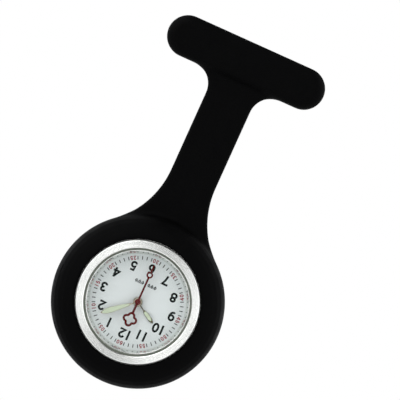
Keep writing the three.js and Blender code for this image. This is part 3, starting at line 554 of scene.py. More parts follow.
@dataclass(frozen=True)
class Finish:
    """One finish, made of a colour that varies a little, an uneven gloss and a fine relief."""

    name: str
    colour: Colour
    roughness: float
    metallic: float = 0.0
    grain: Grain = Grain.FINE
    tint: Colour | None = None  # the colour it varies towards
    tint_share: float = 0.12
    patch: float = 2.0  # width of its patches of colour and gloss, in millimetres
    uneven: float = 0.06  # how far the roughness strays
    texture: float = 0.12  # width of its fine relief, in millimetres
    relief: float = 0.06  # strength of its fine relief
    specular: float = 0.5
    coat: float = 0.0
    alpha: float = 1.0

    @cache
    def material(self) -> bpy.types.Material:
        """The finish as a material, made once.

        Returns:
            The material.
        """
        made = bpy.data.materials.new(f"{self.name}_finish")
        made.use_nodes = True
        tree = made.node_tree
        place = self._place(tree)
        broad = node(tree, "TexNoise", {"Vector": place, "Scale": 1000 / self.patch, "Detail": 3.0})
        fine = node(tree, "TexNoise", {"Vector": place, "Scale": 1000 / self.texture, "Detail": 2.0})
        patches = broad.outputs["Fac"]
        tint = self.tint or tuple(c * 0.8 for c in self.colour)
        share = self._range(tree, patches, 0.0, 2 * self.tint_share)
        colours = node(
            tree, "Mix", {"A": (*self.colour, 1), "B": (*tint, 1), "Factor": share}, data_type="RGBA"
        )
        low, high = self.roughness - self.uneven, self.roughness + self.uneven
        bump = node(
            tree, "Bump", {"Strength": self.relief, "Distance": 0.05 * MM, "Height": fine.outputs["Fac"]}
        )
        shader = tree.nodes["Principled BSDF"]
        constants = {
            "Metallic": self.metallic, "Specular IOR Level": self.specular, "Coat Weight": self.coat,
            "Coat Roughness": 0.08, "Alpha": self.alpha,
        }
        for name, value in constants.items():
            shader.inputs[name].default_value = value
        tree.links.new(colours.outputs["Result"], shader.inputs["Base Color"])
        gloss = self._range(tree, patches, max(low, 0.02), min(high, 1.0))
        tree.links.new(gloss, shader.inputs["Roughness"])
        tree.links.new(bump.outputs["Normal"], shader.inputs["Normal"])
        return made

    def _place(self, tree: bpy.types.NodeTree) -> bpy.types.NodeSocket:
        """Coordinates that run the way of the grain.

        Args:
            tree: the material's nodes.

        Returns:
            The socket that gives them.
        """
        where = node(tree, "TexCoord").outputs["Object"]
        if self.grain is Grain.FINE:
            return where
        if self.grain is Grain.DRAWN:
            return node(tree, "Mapping", {"Vector": where, "Scale": (0.04, 1, 1)}).outputs["Vector"]
        parts = node(tree, "SeparateXYZ", {"Vector": where}).outputs
        up = node(tree, "Math", {0: parts["Z"], 1: DIAL_DROP * MM}, operation="ADD").outputs["Value"]
        flat = node(tree, "CombineXYZ", {"X": parts["X"], "Y": up}).outputs["Vector"]
        reach = node(tree, "VectorMath", {0: flat}, operation="LENGTH").outputs["Value"]
        return node(tree, "CombineXYZ", {"X": reach, "Y": parts["Y"]}).outputs["Vector"]

    def _range(
        self, tree: bpy.types.NodeTree, noise: bpy.types.NodeSocket, low: float, high: float
    ) -> bpy.types.NodeSocket:
        """A noise value spread over a range.

        Args:
            tree: the material's nodes.
            noise: the noise.
            low: what the noise's usual least gives.
            high: what its usual most gives.

        Returns:
            The spread value.
        """
        least, most = NOISE_SPREAD
        ends = {"From Min": least, "From Max": most, "To Min": low, "To Max": high}
        return node(tree, "MapRange", {"Value": noise, **ends}).outputs["Result"]


SILICONE = Finish(
    "black_silicone", (0.0009, 0.0009, 0.001), 0.55, tint=(0.0016, 0.0016, 0.0017), tint_share=0.3,
    patch=3.0, uneven=0.08, texture=0.18, relief=0.25, specular=0.03,
)
SATIN_STEEL = Finish(
    "satin_steel", (0.84, 0.845, 0.82), 0.25, 1.0, Grain.TURNED, tint=(0.7, 0.7, 0.67), patch=0.6,
    uneven=0.05, texture=0.05, relief=0.12,
)
CASE_STEEL = Finish(
    "case_back_steel", (0.66, 0.66, 0.64), 0.27, 1.0, Grain.TURNED, patch=0.5, uneven=0.08, texture=0.06,
    relief=0.2,
)
POLISHED_STEEL = Finish(
    "polished_steel", (0.8, 0.81, 0.78), 0.07, 1.0, patch=1.5, uneven=0.03, texture=0.3, relief=0.01,
)
MIRROR_STEEL = Finish(
    "mirror_steel", (0.8, 0.81, 0.78), 0.04, 1.0, patch=1.5, uneven=0.02, texture=0.3, relief=0.005,
)
NICKEL = Finish(
    "bright_nickel", (0.62, 0.6, 0.55), 0.2, 1.0, Grain.DRAWN, tint=(0.45, 0.42, 0.36), patch=1.2,
    uneven=0.08, texture=0.08, relief=0.06,
)
NEEDLE_STEEL = Finish(
    "needle_steel", (0.72, 0.72, 0.71), 0.13, 1.0, Grain.DRAWN, patch=1.5, uneven=0.05, texture=0.05,
    relief=0.04,
)
SEAL = Finish("crystal_seal", (0.12, 0.135, 0.105), 0.55, patch=0.8, uneven=0.1, texture=0.1, relief=0.1)
GLASS = Finish(
    "mineral_glass", (0.3, 0.36, 0.33), 0.03, alpha=0.03, tint=(0.25, 0.34, 0.3), patch=6.0, uneven=0.01,
    texture=1.0, relief=0.0, specular=0.1,
)
DIAL_LACQUER = Finish(
    "dial_lacquer", (0.735, 0.775, 0.77), 0.42, tint=(0.71, 0.75, 0.745), tint_share=0.4, patch=0.35,
    uneven=0.08, texture=0.06, relief=0.08, specular=0.3,
)
BLACK_INK = Finish(
    "black_ink", (0.002, 0.002, 0.0025), 0.5, patch=0.4, texture=0.05, relief=0.1, specular=0.06,
)
RED_INK = Finish("red_ink", (0.28, 0.002, 0.02), 0.5, patch=0.4, texture=0.05, relief=0.1, specular=0.06)
RED_LACQUER = Finish(
    "red_lacquer", (0.095, 0.0, 0.001), 0.45, tint=(0.07, 0.0, 0.001), patch=0.6, uneven=0.08, texture=0.08,
    relief=0.05, specular=0.03,
)
LUME = Finish(
    "lume_paint", (0.52, 0.6, 0.43), 0.65, tint=(0.58, 0.65, 0.49), tint_share=0.4, patch=0.25,
    texture=0.05, relief=0.3, specular=0.2,
)
GILT = Finish("pale_gilt", (0.5, 0.45, 0.35), 0.3, 1.0, patch=0.5, uneven=0.08, texture=0.05, relief=0.08)
BRONZE = Finish(
    "dark_bronze", (0.1, 0.085, 0.04), 0.35, 0.7, tint=(0.06, 0.05, 0.02), patch=0.5, texture=0.05,
    relief=0.08,
)
BRASS = Finish("wheel_brass", (0.68, 0.5, 0.22), 0.28, 1.0, patch=0.5, texture=0.04, relief=0.1)
COPPER = Finish(
    "enamelled_copper", (0.55, 0.2, 0.07), 0.35, 0.9, Grain.DRAWN, patch=0.3, texture=0.05, relief=0.6,
)
SPACER = Finish("spacer_plastic", (0.74, 0.72, 0.66), 0.55, patch=1.5, texture=0.2, relief=0.2)
PLATE_RESIN = Finish("plate_resin", (0.03, 0.034, 0.038), 0.5, patch=1.5, texture=0.1, relief=0.3)
BOARD = Finish("solder_mask", (0.01, 0.13, 0.06), 0.35, patch=0.4, texture=0.15, relief=0.2, coat=0.3)
CHIP = Finish("chip_resin", (0.012, 0.012, 0.014), 0.5, patch=0.5, texture=0.05, relief=0.3)
TURNED_STEEL = Finish("turned_steel", (0.55, 0.55, 0.54), 0.22, 1.0, patch=0.4, texture=0.04, relief=0.1)

SLOTS: dict[str, Finish] = {
    "silicone": SILICONE, "satin_steel": SATIN_STEEL, "polished_steel": POLISHED_STEEL, "nickel": NICKEL,
    "brass": BRASS, "copper": COPPER, "glass": GLASS, "dial_paint": DIAL_LACQUER, "hand_lume": LUME,
    "red_lacquer": RED_LACQUER, "seal": SEAL, "spacer": SPACER, "plate_resin": PLATE_RESIN, "board": BOARD,
    "chip_resin": CHIP, "movement_steel": TURNED_STEEL,
}


# ---------------------------------------------------------------- pieces


@dataclass
class Assembly:
    """A group of pieces that ride on the same body."""

    body: str

    def piece(
        self,
        name: str,
        shape: Shape,
        finish: Finish,
        slot: str,
        stands_for: tuple[str, ...] = (),
        drawing: Drawing = Drawing.WATCH,
        sharp: float = 32.0,
        rides: bool = True,
        body: str | None = None,
    ) -> bpy.types.Object:
        """Makes one piece and reports it.

        Args:
            name: the piece's name.
            shape: its surface, as drawn.
            finish: its finish.
            slot: the record's material slot; not used.
            stands_for: CAD nodes that it replaces.
            drawing: the frame it is drawn in.
            sharp: edges that turn by more than this many degrees look sharp.
            rides: whether it moves rigidly with the body.
            body: the body it rides on, where that isn't the group's.

        Returns:
            The Blender object.
        """
        mesh = bpy.data.meshes.new(name)
        mesh.from_pydata(drawing.to_part(shape.points).tolist(), [], shape.faces)
        mesh.validate()
        mesh.shade_smooth()
        mesh.set_sharp_from_angle(angle=math.radians(sharp))
        mesh.materials.append(finish.material())
        made = bpy.data.objects.new(name, mesh)
        bpy.context.scene.collection.objects.link(made)
        carrier = body or self.body
        if rides:
            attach(made, carrier)
        if stands_for:
            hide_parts(*stands_for)
        LOG.info("%s: %d faces on %s", name, len(mesh.polygons), carrier)
        return made


@dataclass
class Holder(Assembly):
    """The moulded silicone: T-bar, strap, neck and the pouch that grips the watch."""

    body: str = "t_bar"
    lower_body: str = "watch_head"
    pitch: float = 0.27
    low: Place = (-21.2, -83.4, -1.2)
    high: Place = (21.2, 5.4, 10.8)
    ring_radius: float = 20.5
    strap_half_width: float = 5.75
    strap_depth: float = 3.2
    strap_edges: Point = (0.9, 0.3)  # radii of its front and back edges
    neck_fillet: float = 21.4
    bar_half_height: float = 4.88
    bar_half_length: float = 19.95
    bar_depth: float = 5.2
    bar_edges: Point = (2.1, 0.4)
    bar_fillet: float = 5.5
    bar_to_strap: float = 1.6  # fillets between the faces of the T-bar, the strap and the pouch
    strap_to_pouch: float = 1.8
    trim: float = 0.13  # how far past its outline the form may swell
    trim_edge: float = 0.25
    case_radius: float = 15.75
    case_floor: float = 1.2
    lip_back: float = 8.45
    lip_radius: float = 14.8
    rear_hole: float = 13.0
    crown_hollow: Profile = ((-19.5, -13.5), (4.85, 2.25))  # its ends, then its height and radius
    pocket: Profile = ((-15.6, 15.6), (0.5, 1.3))  # the pin's pocket along the T-bar, and its depths
    pocket_half_height: float = 2.9
    windows: Profile = ((-15.6, -7.4), (-6.2, 6.2), (7.4, 15.6))
    bend_from: float = -14.5
    bend_to: float = -25.5
    bend_depth: float = 1.6
    pouch_profile: Profile = (
        (13.0, 0.0), (19.3, 0.0), (20.1, 0.35), (20.5, 1.3), (20.5, 4.2), (20.3, 5.6), (19.75, 6.9),
        (18.8, 8.0), (17.6, 8.85), (16.4, 9.4), (15.4, 9.72), (15.05, 9.68), (14.82, 9.4), (14.8, 8.45),
        (15.75, 8.45), (15.75, 1.2), (13.0, 1.2),
    )

    def outline(self) -> Loop:
        """The whole front outline: pouch, neck, strap and T-bar.

        Returns:
            The outline, anticlockwise from the pouch's lowest point.
        """
        w, x = self.strap_half_width, self.strap_half_width + self.neck_fillet
        reach = math.sqrt((self.ring_radius + self.neck_fillet) ** 2 - x * x)
        turn = math.degrees(math.atan2(reach, x))
        y = reach - DIAL_DROP
        h, b = self.bar_half_height, self.bar_fillet
        right = arc(0, -DIAL_DROP, self.ring_radius, self.ring_radius, -90, turn, 60)
        right += arc(x, y, self.neck_fillet, self.neck_fillet, 180 + turn, 180, 24)[1:]
        right += arc(w + b, -h - b, b, b, 180, 90, 12)
        right += arc(self.bar_half_length - h, 0, h, h, -90, 90, 24)
        return right + [(-px, py) for px, py in reversed(right)]

    def bar_outline(self) -> Loop:
        """The T-bar's own outline."""
        return stadium(self.bar_half_length - self.bar_half_height, self.bar_half_height, 24)

    def form(self) -> Shape:
        """The moulded form's skin.

        Returns:
            The skin.
        """
        mould = Moulding(self.low, self.high, self.pitch)
        across = mould.plan(self.outline())
        strap = mould.plate(across, 0.0, self.strap_depth, *self.strap_edges)
        bar = mould.plate(mould.plan(self.bar_outline()), 0.0, self.bar_depth, *self.bar_edges)
        pouch = mould.turned(self.pouch_profile, -DIAL_DROP)
        whole = joined(joined(strap, bar, self.bar_to_strap), pouch, self.strap_to_pouch)
        whole = cut(whole, self.trim - across, self.trim_edge)
        whole = np.maximum(whole, -mould.z)
        for hollow, soft in self._case_room(mould) + self._pin_recess(mould):
            whole = cut(whole, hollow, soft)
        return mould.surface(whole)

    def _case_room(self, mould: Moulding) -> list[tuple[np.ndarray, float]]:
        """The hollows for the case, its back, its front and its crown.

        Args:
            mould: the grid.

        Returns:
            Each hollow's distances and how soft its edge is.
        """

        def bore(radius: float, low: float, high: float) -> np.ndarray:
            """A round hollow about the dial's axis."""
            return mould.turned(((0.0, low), (radius, low), (radius, high), (0.0, high)), -DIAL_DROP)

        (start, end), (height, radius) = self.crown_hollow
        round_crown = np.hypot(mould.y + DIAL_DROP, mould.z - height) - radius
        along_crown = np.abs(mould.x - (start + end) / 2) - (end - start) / 2
        return [
            (bore(self.case_radius, self.case_floor, self.lip_back), 0.1),
            (bore(self.rear_hole, -3.0, 2.0), 0.35),
            (bore(self.lip_radius, 5.0, 14.0), 0.3),
            (np.maximum(round_crown, along_crown), 0.2),
        ]

    def _pin_recess(self, mould: Moulding) -> list[tuple[np.ndarray, float]]:
        """The pocket for the pin's base, and the three windows that open it at the back.

        Args:
            mould: the grid.

        Returns:
            Each hollow's distances and how soft its edge is.
        """

        def hollow(along: Point, depths: Point) -> np.ndarray:
            """A box with its long sides along the T-bar.

            Args:
                along: its ends.
                depths: its back and front.

            Returns:
                The distances from it.
            """
            ax = np.abs(mould.x - sum(along) / 2) - (along[1] - along[0]) / 2
            ay = np.abs(mould.y) - self.pocket_half_height
            az = np.abs(mould.z - sum(depths) / 2) - (depths[1] - depths[0]) / 2
            return np.maximum(np.maximum(ax, ay), az)

        openings = [(hollow(window, (-2.0, 0.9)), 0.25) for window in self.windows]
        return [(hollow(*self.pocket), 0.08), *openings]

    def build(self) -> None:
        """Makes the holder as one skin, which rides on no body."""
        made = self.piece(
            "silicone_holder", self.form(), SILICONE, "silicone", ("holder_upper", "holder_lower"),
            Drawing.FRONT, sharp=70.0, rides=False,
        )
        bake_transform(made)


@dataclass
class CaseFront(Assembly):
    """The bezel, the crystal with its seal, and the sloping ring round the dial."""

    body: str = "watch_head"
    bezel_radius: float = 14.67
    bezel_bore: float = 12.78
    bezel_top: float = 10.2
    bezel_rear: Profile = (
        (12.1, 7.95), (12.1, 7.4), (13.4, 7.4), (13.4, 7.05), (15.4, 7.05), (15.6, 7.3), (15.6, 8.4),
    )
    flat: Point = (14.52, 12.98)  # outer and inner edge of the bezel's flat front
    brushed: Point = (14.44, 13.06)
    brush_pitch: float = 0.08
    brush_slope: float = 0.65
    seal: Profile = ((12.3, 8.0), (12.74, 8.0), (12.74, 9.7), (12.45, 9.7), (12.45, 8.45), (12.3, 8.45))
    glass: Profile = ((0.0, 8.5), (12.32, 8.5), (12.4, 8.58), (12.4, 9.72), (12.12, 10.0), (0.0, 10.0))
    surround: Profile = ((11.4, 6.05), (13.3, 6.05), (13.3, 7.35), (12.12, 7.35))

    def brushing(self) -> Loop:
        """Fine round grooves across the bezel's flat front, from its outer edge to its inner one.

        Returns:
            The grooves as a line of (radius, height).
        """
        start, end = self.brushed
        lines = round((start - end) / self.brush_pitch)
        depth = self.brush_slope * self.brush_pitch / math.pi
        made: Loop = []
        for k in range(4 * lines + 1):
            lift = 0.5 - 0.5 * math.cos(math.pi * k / 2)
            made.append((start - k * self.brush_pitch / 4, self.bezel_top - depth * lift))
        return made

    def bezel(self) -> Shape:
        """The bezel with its brushed front.

        Returns:
            The bezel.
        """
        top, bore, outer = self.bezel_top, self.bezel_bore, self.bezel_radius
        first, last = self.flat
        front = ((outer, 8.4), (outer, 9.98), (first, top), (last, top), (bore, 10.06), (bore, 7.95))
        rounded = eased(self.bezel_rear + front, 0.09, 3)
        start = max(i for i, (r, h) in enumerate(rounded) if r > 14 and abs(h - top) < 1e-4)
        return lathe(rounded[: start + 1] + self.brushing() + rounded[start + 1 :], 224)

    def build(self) -> None:
        """Makes the front of the case."""
        self.piece("bezel_ring", self.bezel(), SATIN_STEEL, "satin_steel", ("bezel",), sharp=50.0)
        seal = lathe(eased(self.seal, 0.08, 2), 192)
        self.piece("crystal_seal", seal, SEAL, "seal", ("crystal_gasket",))
        self.piece("crystal_glass", lathe(self.glass, 192), GLASS, "glass", ("crystal",))
        surround = lathe(eased(self.surround, 0.06, 2), 256)
        self.piece("dial_surround", surround, MIRROR_STEEL, "polished_steel", ("dial_ring",))


@dataclass
class CaseRear(Assembly):
    """The snap-on back, with a shallow step round its middle."""

    body: str = "watch_head"
    back: Profile = (
        (0.0, 0.35), (10.9, 0.35), (11.0, 0.42), (11.35, 0.42), (11.45, 0.35), (12.3, 0.35), (12.6, 0.65),
        (12.6, 1.25), (15.2, 1.25), (15.2, 2.0), (13.9, 2.0), (13.9, 2.95), (13.3, 2.95), (13.3, 1.5),
        (0.0, 1.5),
    )

    def build(self) -> None:
        """Makes the back of the case."""
        self.piece("snap_back", lathe(self.back, 192), CASE_STEEL, "satin_steel", ("case_back",))


@dataclass(frozen=True)
class Numeral:
    """One digit drawn as strokes of a constant width."""

    digit: str
    height: float
    width: float
    stroke: float

    def lines(self) -> tuple[list[Loop], list[Loop]]:
        """The open strokes and the closed ones, along their middles.

        Returns:
            The open strokes, then the closed ones.
        """
        w, h = self.width - self.stroke, self.height - self.stroke
        m = w / 2
        if self.digit == "0":
            return [], [arc(m, h / 2, m, h / 2, 0, 360, 36)[:-1]]
        if self.digit == "1":
            return [[(m, -self.stroke / 2), (m, h + self.stroke / 2)]], []
        if self.digit == "2":
            bowl = arc(m, h - 0.29 * h, m, 0.29 * h, 168, -28, 16)
            return [bowl + [(0.55 * w, 0.33 * h), (0.02 * w, 0.0), (w + self.stroke / 2, 0.0)]], []
        if self.digit == "3":
            upper = arc(0.46 * w, 0.755 * h, 0.44 * w, 0.245 * h, 165, -75, 14)
            lower = arc(0.46 * w, 0.27 * h, 0.5 * w, 0.27 * h, 82, -165, 16)
            return [upper + [(0.36 * w, 0.53 * h)], lower], []
        if self.digit == "4":
            slope = [(0.7 * w, h), (-0.1 * w, 0.27 * h), (w + self.stroke / 2, 0.27 * h)]
            return [slope, [(0.74 * w, -self.stroke / 2), (0.74 * w, h + self.stroke / 2)]], []
        if self.digit == "5":
            bowl = arc(0.46 * w, 0.31 * h, 0.5 * w, 0.31 * h, 125, -158, 18)
            return [[(0.94 * w, h), (0.2 * w, h), (0.08 * w, 0.5 * h)] + bowl], []
        if self.digit in "69":
            bowl = arc(m, 0.31 * h, m, 0.31 * h, 0, 360, 28)[:-1]
            tail = arc(0.62 * w, 0.42 * h, 0.62 * w, 0.58 * h, 190, 62, 16)
            if self.digit == "6":
                return [tail], [bowl]
            flip = [[(w - x, h - y) for x, y in line] for line in (tail, bowl)]
            return [flip[0]], [flip[1]]
        if self.digit == "7":
            return [[(-self.stroke / 2, h), (w, h), (0.62 * w, 0.55 * h), (0.36 * w, -self.stroke / 2)]], []
        upper = arc(m, 0.765 * h, 0.44 * w, 0.235 * h, 0, 360, 24)[:-1]
        return [], [upper, arc(m, 0.27 * h, 0.5 * w, 0.27 * h, 0, 360, 28)[:-1]]

    def outlines(self) -> list[list[Loop]]:
        """Each stroke's outline with its hole, about the digit's middle.

        Returns:
            For each stroke, its outline and its hole if it has one.
        """
        opened, closed = self.lines()
        shift = (-(self.width - self.stroke) / 2, -(self.height - self.stroke) / 2)

        def moved(loop: Loop) -> Loop:
            """The loop about the digit's middle."""
            return [(x + shift[0], y + shift[1]) for x, y in loop]

        made = [[moved(ribbon(line, self.stroke))] for line in opened]
        for line in closed:
            half = self.stroke / 2
            made.append([moved(inset(line, -half)), moved(inset(line, half))])
        return made


@dataclass
class Dial(Assembly):
    """The dial with its printing."""

    body: str = "watch_head"
    radius: float = 12.9
    back: float = 5.6
    face: float = 6.0
    ink: float = 0.015
    numeral_height: float = 2.4
    numeral_width: float = 1.62
    numeral_stroke: float = 0.5
    minute_height: float = 0.98
    minute_width: float = 0.64
    minute_stroke: float = 0.19
    minute_spacing: float = 0.8
    track: float = 10.46
    tick_half_width: float = 0.1
    tick_half_length: float = 0.42
    ornament_height: float = -4.62
    lozenge: Profile = ((-0.36, 0.0), (0.0, -0.5), (0.36, 0.0), (0.0, 0.5))
    lozenge_line: float = 0.2
    lozenge_places: tuple[float, ...] = (0.78, 1.6, 2.42)
    dot_places: tuple[float, ...] = (1.19, 2.01)
    dot_radius: float = 0.13
    dot_lift: float = 0.3
    hours: Profile = (  # the middle of each hour's numeral, from 1 to 12
        (4.2, 7.2), (7.4, 4.2), (8.8, 0.0), (7.5, -4.3), (4.4, -7.4), (0.2, -8.4),
        (-4.0, -7.3), (-7.3, -4.4), (-8.7, -0.2), (-6.8, 3.8), (-4.1, 6.9), (-0.1, 8.17),
    )

    def printed(self, outlines: list[list[Loop]]) -> Shape:
        """Outlines as a thin layer of ink on the dial's face."""
        return combined([slab(loops, self.face - 0.02, self.face + self.ink) for loops in outlines])

    def big_numerals(self) -> list[list[Loop]]:
        """The twelve hours, upright to the line from 12 to 6.

        Returns:
            The outlines of each stroke.
        """
        made: list[list[Loop]] = []
        digit_places = {10: (-1.1, 0.45), 11: (-0.75, 0.75), 12: (-1.08, 0.45)}
        for hour, (x, y) in enumerate(self.hours, 1):
            for digit, dx in zip(str(hour), digit_places.get(hour, (0.0,))):
                numeral = Numeral(digit, self.numeral_height, self.numeral_width, self.numeral_stroke)
                made += [[on_dial(loop, x + dx, y) for loop in loops] for loops in numeral.outlines()]
        return made

    def small_numerals(self) -> list[list[Loop]]:
        """The minutes at each fifth place, set along the circle and the right way up in the lower part.

        Returns:
            The outlines of each stroke.
        """
        made: list[list[Loop]] = []
        for k in range(1, 13):
            clock = 30.0 * k
            flip = 90 < clock < 270
            for n, digit in enumerate(f"{5 * k:02d}"):
                numeral = Numeral(digit, self.minute_height, self.minute_width, self.minute_stroke)
                side = (n - 0.5) * self.minute_spacing * (-1 if flip else 1)
                x, y = polar(self.track, clock + math.degrees(side / self.track))
                turn = clock + (180 if flip else 0)
                made += [[on_dial(loop, x, y, turn) for loop in loops] for loops in numeral.outlines()]
        return made

    def ticks(self) -> list[list[Loop]]:
        """A thin line at each minute between the small numerals.

        Returns:
            The outline of each line.
        """
        w, h = self.tick_half_width, self.tick_half_length
        bar = [(-w, -h), (w, -h), (w, h), (-w, h)]
        clocks = [6.0 * k for k in range(60) if k % 5]
        return [[on_dial(bar, *polar(self.track, c), c)] for c in clocks]

    def ornament(self) -> list[list[Loop]]:
        """A row of open lozenges with dots between them, halfway from the dial's middle to 6.

        Returns:
            The outlines of each mark.
        """
        frame_loops = [list(self.lozenge), inset(self.lozenge, self.lozenge_line)]
        made: list[list[Loop]] = []
        for side in (-1, 1):
            for x in self.lozenge_places:
                made.append([on_dial(loop, side * x, self.ornament_height) for loop in frame_loops])
            for x in self.dot_places:
                made.append([circle(self.dot_radius, side * x, self.ornament_height + self.dot_lift, 16)])
        return made

    def build(self) -> None:
        """Makes the dial's disc and its printing."""
        disc = [(1.0, self.back), (self.radius, self.back), (self.radius, self.face), (1.0, self.face)]
        plate = lathe(eased(disc, 0.05, 2), 192)
        self.piece("dial_plate", plate, DIAL_LACQUER, "dial_paint", ("dial",))
        self.piece("hour_numerals", self.printed(self.big_numerals()), BLACK_INK, "dial_paint")
        self.piece("minute_numerals", self.printed(self.small_numerals()), RED_INK, "dial_paint")
        self.piece("minute_ticks", self.printed(self.ticks()), BLACK_INK, "dial_paint")
        self.piece("dial_ornament", self.printed(self.ornament()), BLACK_INK, "dial_paint")


def mirrored_outline(pairs: Sequence[Point]) -> Loop:
    """An outline that is the same on both sides, from (half width, distance along) up its right side."""
    left = [(-w, y) for w, y in reversed(pairs) if w > 0]
    return list(pairs) + left


@dataclass
class LumedHand(Assembly):
    """A hand with a round hub and a blade that carries pale green paint."""

    name: str
    clock: float  # degrees clockwise from 12 at rest
    low: float
    high: float
    finish: Finish
    hub: Point  # its radius and its hole's radius
    blade: Profile
    blade_edge: float
    lume: Profile
    lume_height: float
    lume_corner: float

    def build(self) -> None:
        """Makes the hand's blade and its lume."""
        hub = slab([circle(self.hub[0]), circle(self.hub[1])], self.low, self.high, 0.04)
        blade = slab([mirrored_outline(self.blade)], self.low, self.high, self.blade_edge)
        whole = (hub + blade).turned(-self.clock)
        self.piece(f"{self.name}_blade", whole, self.finish, "hand_lume", (self.name,))
        outline = eased(mirrored_outline(self.lume), self.lume_corner)
        paint = slab([outline], self.high - 0.02, self.high + self.lume_height, 0.06)
        self.piece(f"{self.name}_lume", paint.turned(-self.clock), LUME, "hand_lume")


@dataclass
class HourHand(LumedHand):
    """The short hand."""

    body: str = "hours"
    name: str = "hour_hand"
    clock: float = 300.5
    low: float = 6.4
    high: float = 6.6
    finish: Finish = BRONZE
    hub: Point = (1.12, 0.89)
    blade: Profile = (
        (0.12, 0.95), (0.12, 2.45), (0.38, 2.95), (0.5, 3.6), (0.46, 5.3), (0.22, 5.98), (0.0, 6.2),
    )
    blade_edge: float = 0.05
    lume: Profile = ((0.24, 2.85), (0.41, 3.4), (0.38, 4.8), (0.2, 5.45))
    lume_height: float = 0.07
    lume_corner: float = 0.12


@dataclass
class MinuteHand(LumedHand):
    """The long hand."""

    body: str = "minutes"
    name: str = "minute_hand"
    clock: float = 49.7
    low: float = 6.95
    high: float = 7.12
    finish: Finish = GILT
    hub: Point = (1.02, 0.6)
    blade: Profile = (
        (0.17, 0.9), (0.17, 1.6), (0.3, 2.1), (0.48, 3.8), (0.66, 6.3), (0.6, 7.8), (0.25, 8.85), (0.0, 9.1),
    )
    blade_edge: float = 0.04
    lume: Profile = ((0.22, 2.1), (0.43, 3.8), (0.6, 6.3), (0.54, 7.75), (0.16, 8.75))
    lume_height: float = 0.08
    lume_corner: float = 0.15


@dataclass
class SecondHand(Assembly):
    """The red hand, with an eye near its tip and an open quatrefoil as its counterweight."""

    body: str = "seconds"
    clock: float = 180.0
    low: float = 7.5
    high: float = 7.66
    stem: Profile = ((0.29, -2.75), (0.27, -0.6), (0.24, 0.6), (0.23, 6.28))
    tip: Profile = ((0.21, 7.6), (0.17, 9.5))
    eye_at: float = 6.95
    eye: Point = (0.79, 0.4)  # outer and inner radius
    lobes_at: float = -4.45
    lobe_radius: float = 0.95
    lobe_offset: float = 0.85
    lobe_line: float = 0.54
    cap: Profile = (
        (0.0, 7.74), (0.2, 7.74), (0.2, 7.3), (0.72, 7.3), (0.72, 7.72), (0.5, 7.88), (0.0, 7.92),
    )

    def quatrefoil(self, grow: float) -> Loop:
        """A line round the counterweight's four lobes.

        Args:
            grow: how far the line is outside the lobes' edge, less than 0 for the inside of the frame.

        Returns:
            The line.
        """
        lobe, out = self.lobe_radius, self.lobe_offset
        notch = (out + math.sqrt(2 * lobe * lobe - out * out)) / 2
        turn = math.degrees(math.atan2(notch, notch - out))
        quarter = arc(out, 0, lobe + grow, lobe + grow, -turn, turn, 16)
        if grow < 0:
            quarter += arc(notch, notch, -grow, -grow, 180 + turn, 270 - turn, 6)[1:-1]
        made: Loop = []
        for k in range(4):
            c, s = round(math.cos(math.pi * k / 2)), round(math.sin(math.pi * k / 2))
            made += [(c * x - s * y, s * x + c * y + self.lobes_at) for x, y in quarter]
        return made

    def build(self) -> None:
        """Makes the hand and the cap over its pipe."""
        parts = (
            ([mirrored_outline(self.stem)], 0.03),
            ([mirrored_outline(self.tip)], 0.03),
            ([circle(radius, 0, self.eye_at) for radius in self.eye], 0.04),
            ([self.quatrefoil(0.0), self.quatrefoil(-self.lobe_line)], 0.05),
        )
        whole = combined([slab(loops, self.low, self.high, edge) for loops, edge in parts])
        blade = whole.turned(-self.clock)
        self.piece("second_hand_blade", blade, RED_LACQUER, "red_lacquer", ("second_hand",))
        cap = lathe(eased(self.cap, 0.06, 2, closed=False), 64)
        self.piece("second_hand_pipe", cap, RED_LACQUER, "red_lacquer")


